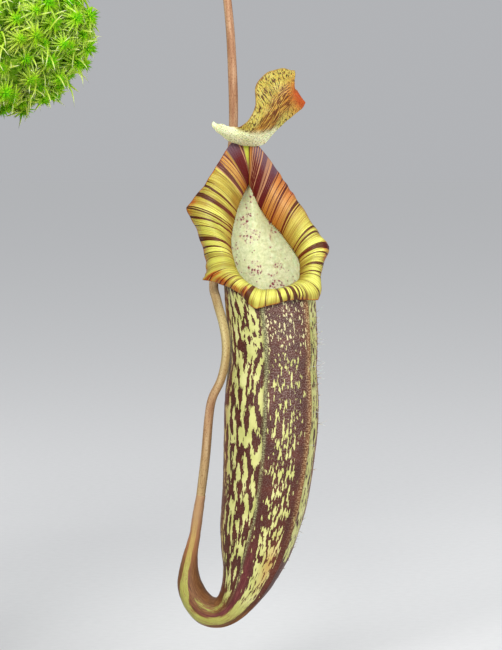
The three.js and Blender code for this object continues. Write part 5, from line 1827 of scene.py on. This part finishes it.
def pitcher_tendril(leaf, pitcher):
    """The line of a pitcher's tendril from inside the tail's end to the leaf, its number of rows,
    its radius, and where it is pale: by the tail and behind the collar."""
    put = in_place(pitcher)
    tip, outwards = leaf_end(leaf)
    drop = pitcher["height"] + (leaf["tip"] - pitcher["height"]) * 0.4
    tail_end = [cup_axis(np.array(place)) for place in (0.95, 1)]
    line = smooth_line([
        *(put(point) for point in [*tail_end, *TENDRIL_ROUTE]),
        around(pitcher["azimuth"], pitcher["reach"] - 3.5, drop),
        tip + outwards * 17,
        tip - outwards * 1.5,
    ])

    def radius_at(along, angle):
        uneven = 0.08 * np.sin(along * 24) + 0.05 * np.sin(angle * 3 + along * 40)
        swollen = 0.25 * smoothstep(along, 0.9, 1) - 0.03 * faded(along, 0, 0.06)
        return (TENDRIL_RADIUS + uneven + swollen) * pitcher["size"]

    def pale(turn, along):
        return np.maximum(0.8 * bump(along, 0.25, 0.08), 0.5 - 0.5 * smoothstep(along, 0.02, 0.2))

    return line, PITCHER_TENDRIL_ROWS, radius_at, pale


def bud_tendril(leaf):
    """The same for a tendril that ends in a closed bud, from the leaf to the bud. It is pale by
    the leaf."""
    tip, outwards = leaf_end(leaf)
    size = leaf["reach"] / FULL_LEAF_REACH
    thickness = math.sqrt(size)
    hanging = [tip + around(leaf["azimuth"], out * size, -down * size) for out, down in BUD_ROUTE]
    line = smooth_line([tip - outwards * 1.5, tip + outwards * 10 * size, *hanging])

    def radius_at(along, angle):
        bud = BUD_STALK_RADIUS + (BUD_RADIUS - BUD_STALK_RADIUS) * smoothstep(along, 0.78, 0.93)
        close = 1 - 0.55 * smoothstep(along, 0.95, 1)
        return bud * close * thickness * (1 + 0.03 * np.sin(angle * 4))

    return line, BUD_TENDRIL_ROWS, radius_at, lambda turn, along: faded(along, 0, 0.3)


def make_tendril(number, leaf, pitcher, material):
    line, rows, radius_at, pale = pitcher_tendril(leaf, pitcher) if pitcher else bud_tendril(leaf)
    mesh = tube(f"leaf_tendril_{number}", TENDRIL_SIDES, rows, line, radius_at, {"pale": pale})
    new_object(mesh.name, mesh, [material], [f"tendril_{number}"])


# Moss


def moss_head(seed, whorls):
    """One head, with its middle at the origin and facing up: a dense heart, and branches that
    spread and droop round it."""
    chance = random.Random(seed)
    form = spiky_form()
    spikes = [upright_spike(cuts) for cuts in range(LEAFY_CUTS + 1)]
    for count, rise, length, width, droop, height, cuts, (inner, outer) in whorls:
        for index in range(count):
            azimuth = (index + chance.uniform(-0.4, 0.4)) / count * 2 * math.pi
            lift = rise + chance.uniform(-0.2, 0.2)
            way = (math.cos(azimuth) * math.cos(lift), math.sin(azimuth) * math.cos(lift), math.sin(lift))
            reach = length * chance.uniform(0.65, 1.2)
            bend = droop * chance.uniform(0.4, 1.3)
            grow_spike(form, spikes[cuts], (0, 0, height), way, reach, width, bend, (inner, outer))
            for leaf in range(int(reach * LEAVES_PER_MM) if cuts == LEAFY_CUTS else 0):
                share = 0.1 + 0.8 * leaf / (reach * LEAVES_PER_MM)
                foot = np.array(way) * reach * share + np.array([0, 0, height - bend * reach * share**2])
                out = np.array([chance.uniform(-1, 1) for _ in range(3)]) * 0.8 + np.array(way)
                tone = inner + (outer - inner) * share
                grow_spike(form, spikes[0], foot, out, 1.7 * (1.1 - share), 0.75, 0, (tone, tone + 0.15))
    for spike in spikes:
        bpy.data.meshes.remove(spike)
    return new_mesh(f"moss_head_{seed}", form)


def moss_cushion():
    """The cushion below the heads: the frame's moss, merged and smoothed."""
    form = bmesh.new()
    form.from_mesh(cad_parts["moss"].data)
    bmesh.ops.remove_doubles(form, verts=form.verts, dist=1e-5)
    every_way = dict(use_axis_x=True, use_axis_y=True, use_axis_z=True)
    for _ in range(6):
        bmesh.ops.smooth_vert(form, verts=form.verts, factor=0.5, **every_way)
    bmesh.ops.recalc_face_normals(form, faces=form.faces)
    bmesh.ops.triangulate(form, faces=form.faces)
    form.normal_update()
    return form


def moss_spots(form):
    """Where heads stand on the cushion, and which way each faces. Points are tried at random all
    over it, and kept where no other head is too near."""
    chance = np.random.default_rng(5)
    faces = list(form.faces)
    corners = np.array([[corner.co for corner in face.verts] for face in faces]) / MM
    normals = np.array([face.normal for face in faces])
    sizes = np.array([face.calc_area() for face in faces])
    picks = chance.choice(len(faces), HEAD_TRIES, p=sizes / sizes.sum())
    first, second = chance.random(HEAD_TRIES), chance.random(HEAD_TRIES)
    over = first + second > 1
    first[over], second[over] = 1 - first[over], 1 - second[over]
    a, b, c = (corners[picks, i] for i in range(3))
    points = a + (b - a) * first[:, None] + (c - a) * second[:, None]
    ways = normals[picks]
    reach = np.hypot(points[:, 0], points[:, 1])
    outer = (reach > POT_RIM_RADIUS + HEADS_PAST_RIM) | (points[:, 2] > POT_HEIGHT + HEADS_ABOVE_POT)
    tucked = (ways[:, 2] < FACING_DOWN) & (reach < POT_RIM_RADIUS + NEAR_POT_WALL)
    kept = []
    cells = {}
    for index in np.flatnonzero(outer & (reach > STEM_RADIUS + HEADS_OFF_STEM) & ~tucked):
        cell = np.floor(points[index] / HEAD_SPACING).astype(int)
        near = [tuple(cell + step - 1) for step in np.ndindex(3, 3, 3)]
        close = [other for key in near for other in cells.get(key, [])]
        room = FINE_HEAD_SPACING if points[index, 0] > FINE_HEADS_FROM_X else HEAD_SPACING
        if all(np.linalg.norm(points[index] - points[other]) > room for other in close):
            cells.setdefault(tuple(cell), []).append(index)
            kept.append(index)
    return points[kept], ways[kept]


def make_moss_heads(name, points, ways, heads, chance, material):
    """Copies of the heads on their spots, each of its own size, turned and leaning its own way."""
    form = spiky_form()
    for point, way in zip(points, ways):
        copy = chance.choice(heads).copy()
        lean = Vector(way) + Vector([chance.uniform(-0.35, 0.35) for _ in range(3)]) + Vector((0, 0, 0.25))
        turned = lean.to_track_quat("Z", "Y").to_matrix().to_4x4()
        size = chance.uniform(*HEAD_SIZES)
        spin = Matrix.Rotation(chance.uniform(0, 2 * math.pi), 4, "Z")
        spot = Vector(point) * MM + Vector(way) * chance.uniform(0, HEAD_LIFT) * MM
        copy.transform(Matrix.Translation(spot) @ turned @ spin @ Matrix.Scale(size, 4))
        form.from_mesh(copy)
        bpy.data.meshes.remove(copy)
    new_object(name, new_mesh(name, form), [material])


def make_loose_branches(points, ways, chance, material):
    """Branches that arch between the heads."""
    form = spiky_form()
    spike = upright_spike(3)
    for point, way in zip(points, ways):
        for _ in range(LOOSE_BRANCHES_PER_HEAD):
            foot = point + np.array([chance.uniform(-4, 4) for _ in range(3)])
            out = way * chance.uniform(0.2, 1) + np.array([chance.uniform(-1, 1) for _ in range(3)])
            length = chance.uniform(*LOOSE_BRANCH_LENGTHS)
            grow_spike(form, spike, foot, out, length, 1.1, chance.uniform(-0.2, 0.8), (0.4, 1))
    bpy.data.meshes.remove(spike)
    new_object("moss_loose_branches", new_mesh("moss_loose_branches", form), [material])


def make_moss():
    live = live_sphagnum()
    chance = random.Random(12)
    form = moss_cushion()
    points, ways = moss_spots(form)
    bmesh.ops.subdivide_edges(form, edges=form.edges, cuts=2, use_grid_fill=True)
    lumps = waves(np.array([corner.co for corner in form.verts]) / MM, 11, 6)
    for corner, lump in zip(form.verts, lumps):
        corner.co += corner.normal * (1.6 * lump - 1.5 + chance.uniform(-1, 0.6)) * MM
    new_object("moss_cushion", new_mesh("moss_cushion", form), [shaded_sphagnum()], ["moss"])
    plain = [moss_head(seed, PLAIN_WHORLS) for seed in range(1, 6)]
    fine = [moss_head(seed, FINE_WHORLS) for seed in range(11, 17)]
    near = (points[:, 0] > FINE_HEADS_FROM_X) & (ways[:, 1] < FINE_HEADS_FACE_BELOW)
    upper = points[:, 2] > np.median(points[near, 2])
    groups = {
        "moss_heads_near_above": (near & upper, fine),
        "moss_heads_near_below": (near & ~upper, fine),
        "moss_heads_left": (~near & (points[:, 1] < 0), plain),
        "moss_heads_right": (~near & (points[:, 1] >= 0), plain),
    }
    for name, (chosen, heads) in groups.items():
        make_moss_heads(name, points[chosen], ways[chosen], heads, chance, live)
    make_loose_branches(points[near], ways[near], chance, live)
    for head in plain + fine:
        bpy.data.meshes.remove(head)


# Camera, lights and floor


def make_floor():
    form = bmesh.new()
    bmesh.ops.create_circle(form, cap_ends=True, segments=96, radius=FLOOR_RADIUS * MM)
    floor = bpy.data.objects.new("studio_floor", new_mesh("studio_floor", form))
    floor.data.materials.append(backdrop_paper())
    bpy.context.scene.collection.objects.link(floor)


def aim(thing, target):
    thing.rotation_euler = (Vector(target) - thing.location).to_track_quat("-Z", "Y").to_euler()


def make_light(name, offset, target, size, power):
    data = bpy.data.lights.new(name, "AREA")
    data.shape = "RECTANGLE"
    data.size, data.size_y = (side * MM for side in size)
    data.energy = power
    light = bpy.data.objects.new(name, data)
    light.location = Vector(target + np.array(offset)) * MM
    aim(light, Vector(target) * MM)
    bpy.context.scene.collection.objects.link(light)


def make_camera():
    """Looks at the tall pitcher as the photograph does, and gives the point that it looks at."""
    hero_foot = in_place(PITCHERS[-1])(np.zeros(3))
    x, y = PITCHER_FOOT_PIXEL
    target = hero_foot + np.array([(PHOTO_WIDTH / 2 - x) * PIXEL, 0, (y - PHOTO_HEIGHT / 2) * PIXEL])
    elevation = math.radians(CAMERA_ELEVATION)
    back = Vector((0, -math.cos(elevation), math.sin(elevation)))
    data = bpy.data.cameras.new("camera")
    data.sensor_width = SENSOR
    data.lens = SENSOR * CAMERA_DISTANCE / (PHOTO_HEIGHT * PIXEL)
    camera = bpy.data.objects.new("camera", data)
    camera.location = (Vector(target) + back * CAMERA_DISTANCE) * MM
    aim(camera, Vector(target) * MM)
    bpy.context.scene.collection.objects.link(camera)
    bpy.context.scene.camera = camera
    return target


def make_lights(target):
    for name, (offset, size, power) in LIGHTS.items():
        make_light(name, offset, target, size, power)
    world = bpy.data.worlds.new("studio")
    world.use_nodes = True
    background = world.node_tree.nodes["Background"]
    background.inputs["Color"].default_value = linear(SKY_COLOUR)
    background.inputs["Strength"].default_value = SKY_STRENGTH
    bpy.context.scene.world = world
    bpy.context.scene.view_settings.view_transform = "Standard"


make_lights(make_camera())
make_floor()

make_pot()
finish_growing_medium()
make_stem()

leaf_skin = waxy_leaf()
tendril = tendril_skin()
for number, leaf in enumerate(LEAVES, start=1):
    make_leaf(number, leaf, leaf_skin)
    if number < len(LEAVES):
        carried = [pitcher for pitcher in PITCHERS if pitcher["leaf"] == number]
        make_tendril(number, leaf, carried[0] if carried else None, tendril)

cup_skins = [cup_outside(), cup_inside()]
collar_skin = striped_collar()
lid_skin = flecked_lid()
hair = fine_hair()
for pitcher in PITCHERS:
    make_cup(pitcher, cup_skins)
    make_collar(pitcher, collar_skin)
    make_lid(pitcher, lid_skin)
    make_cup_hairs(pitcher, hair)

make_moss()

bpy.context.view_layer.update()
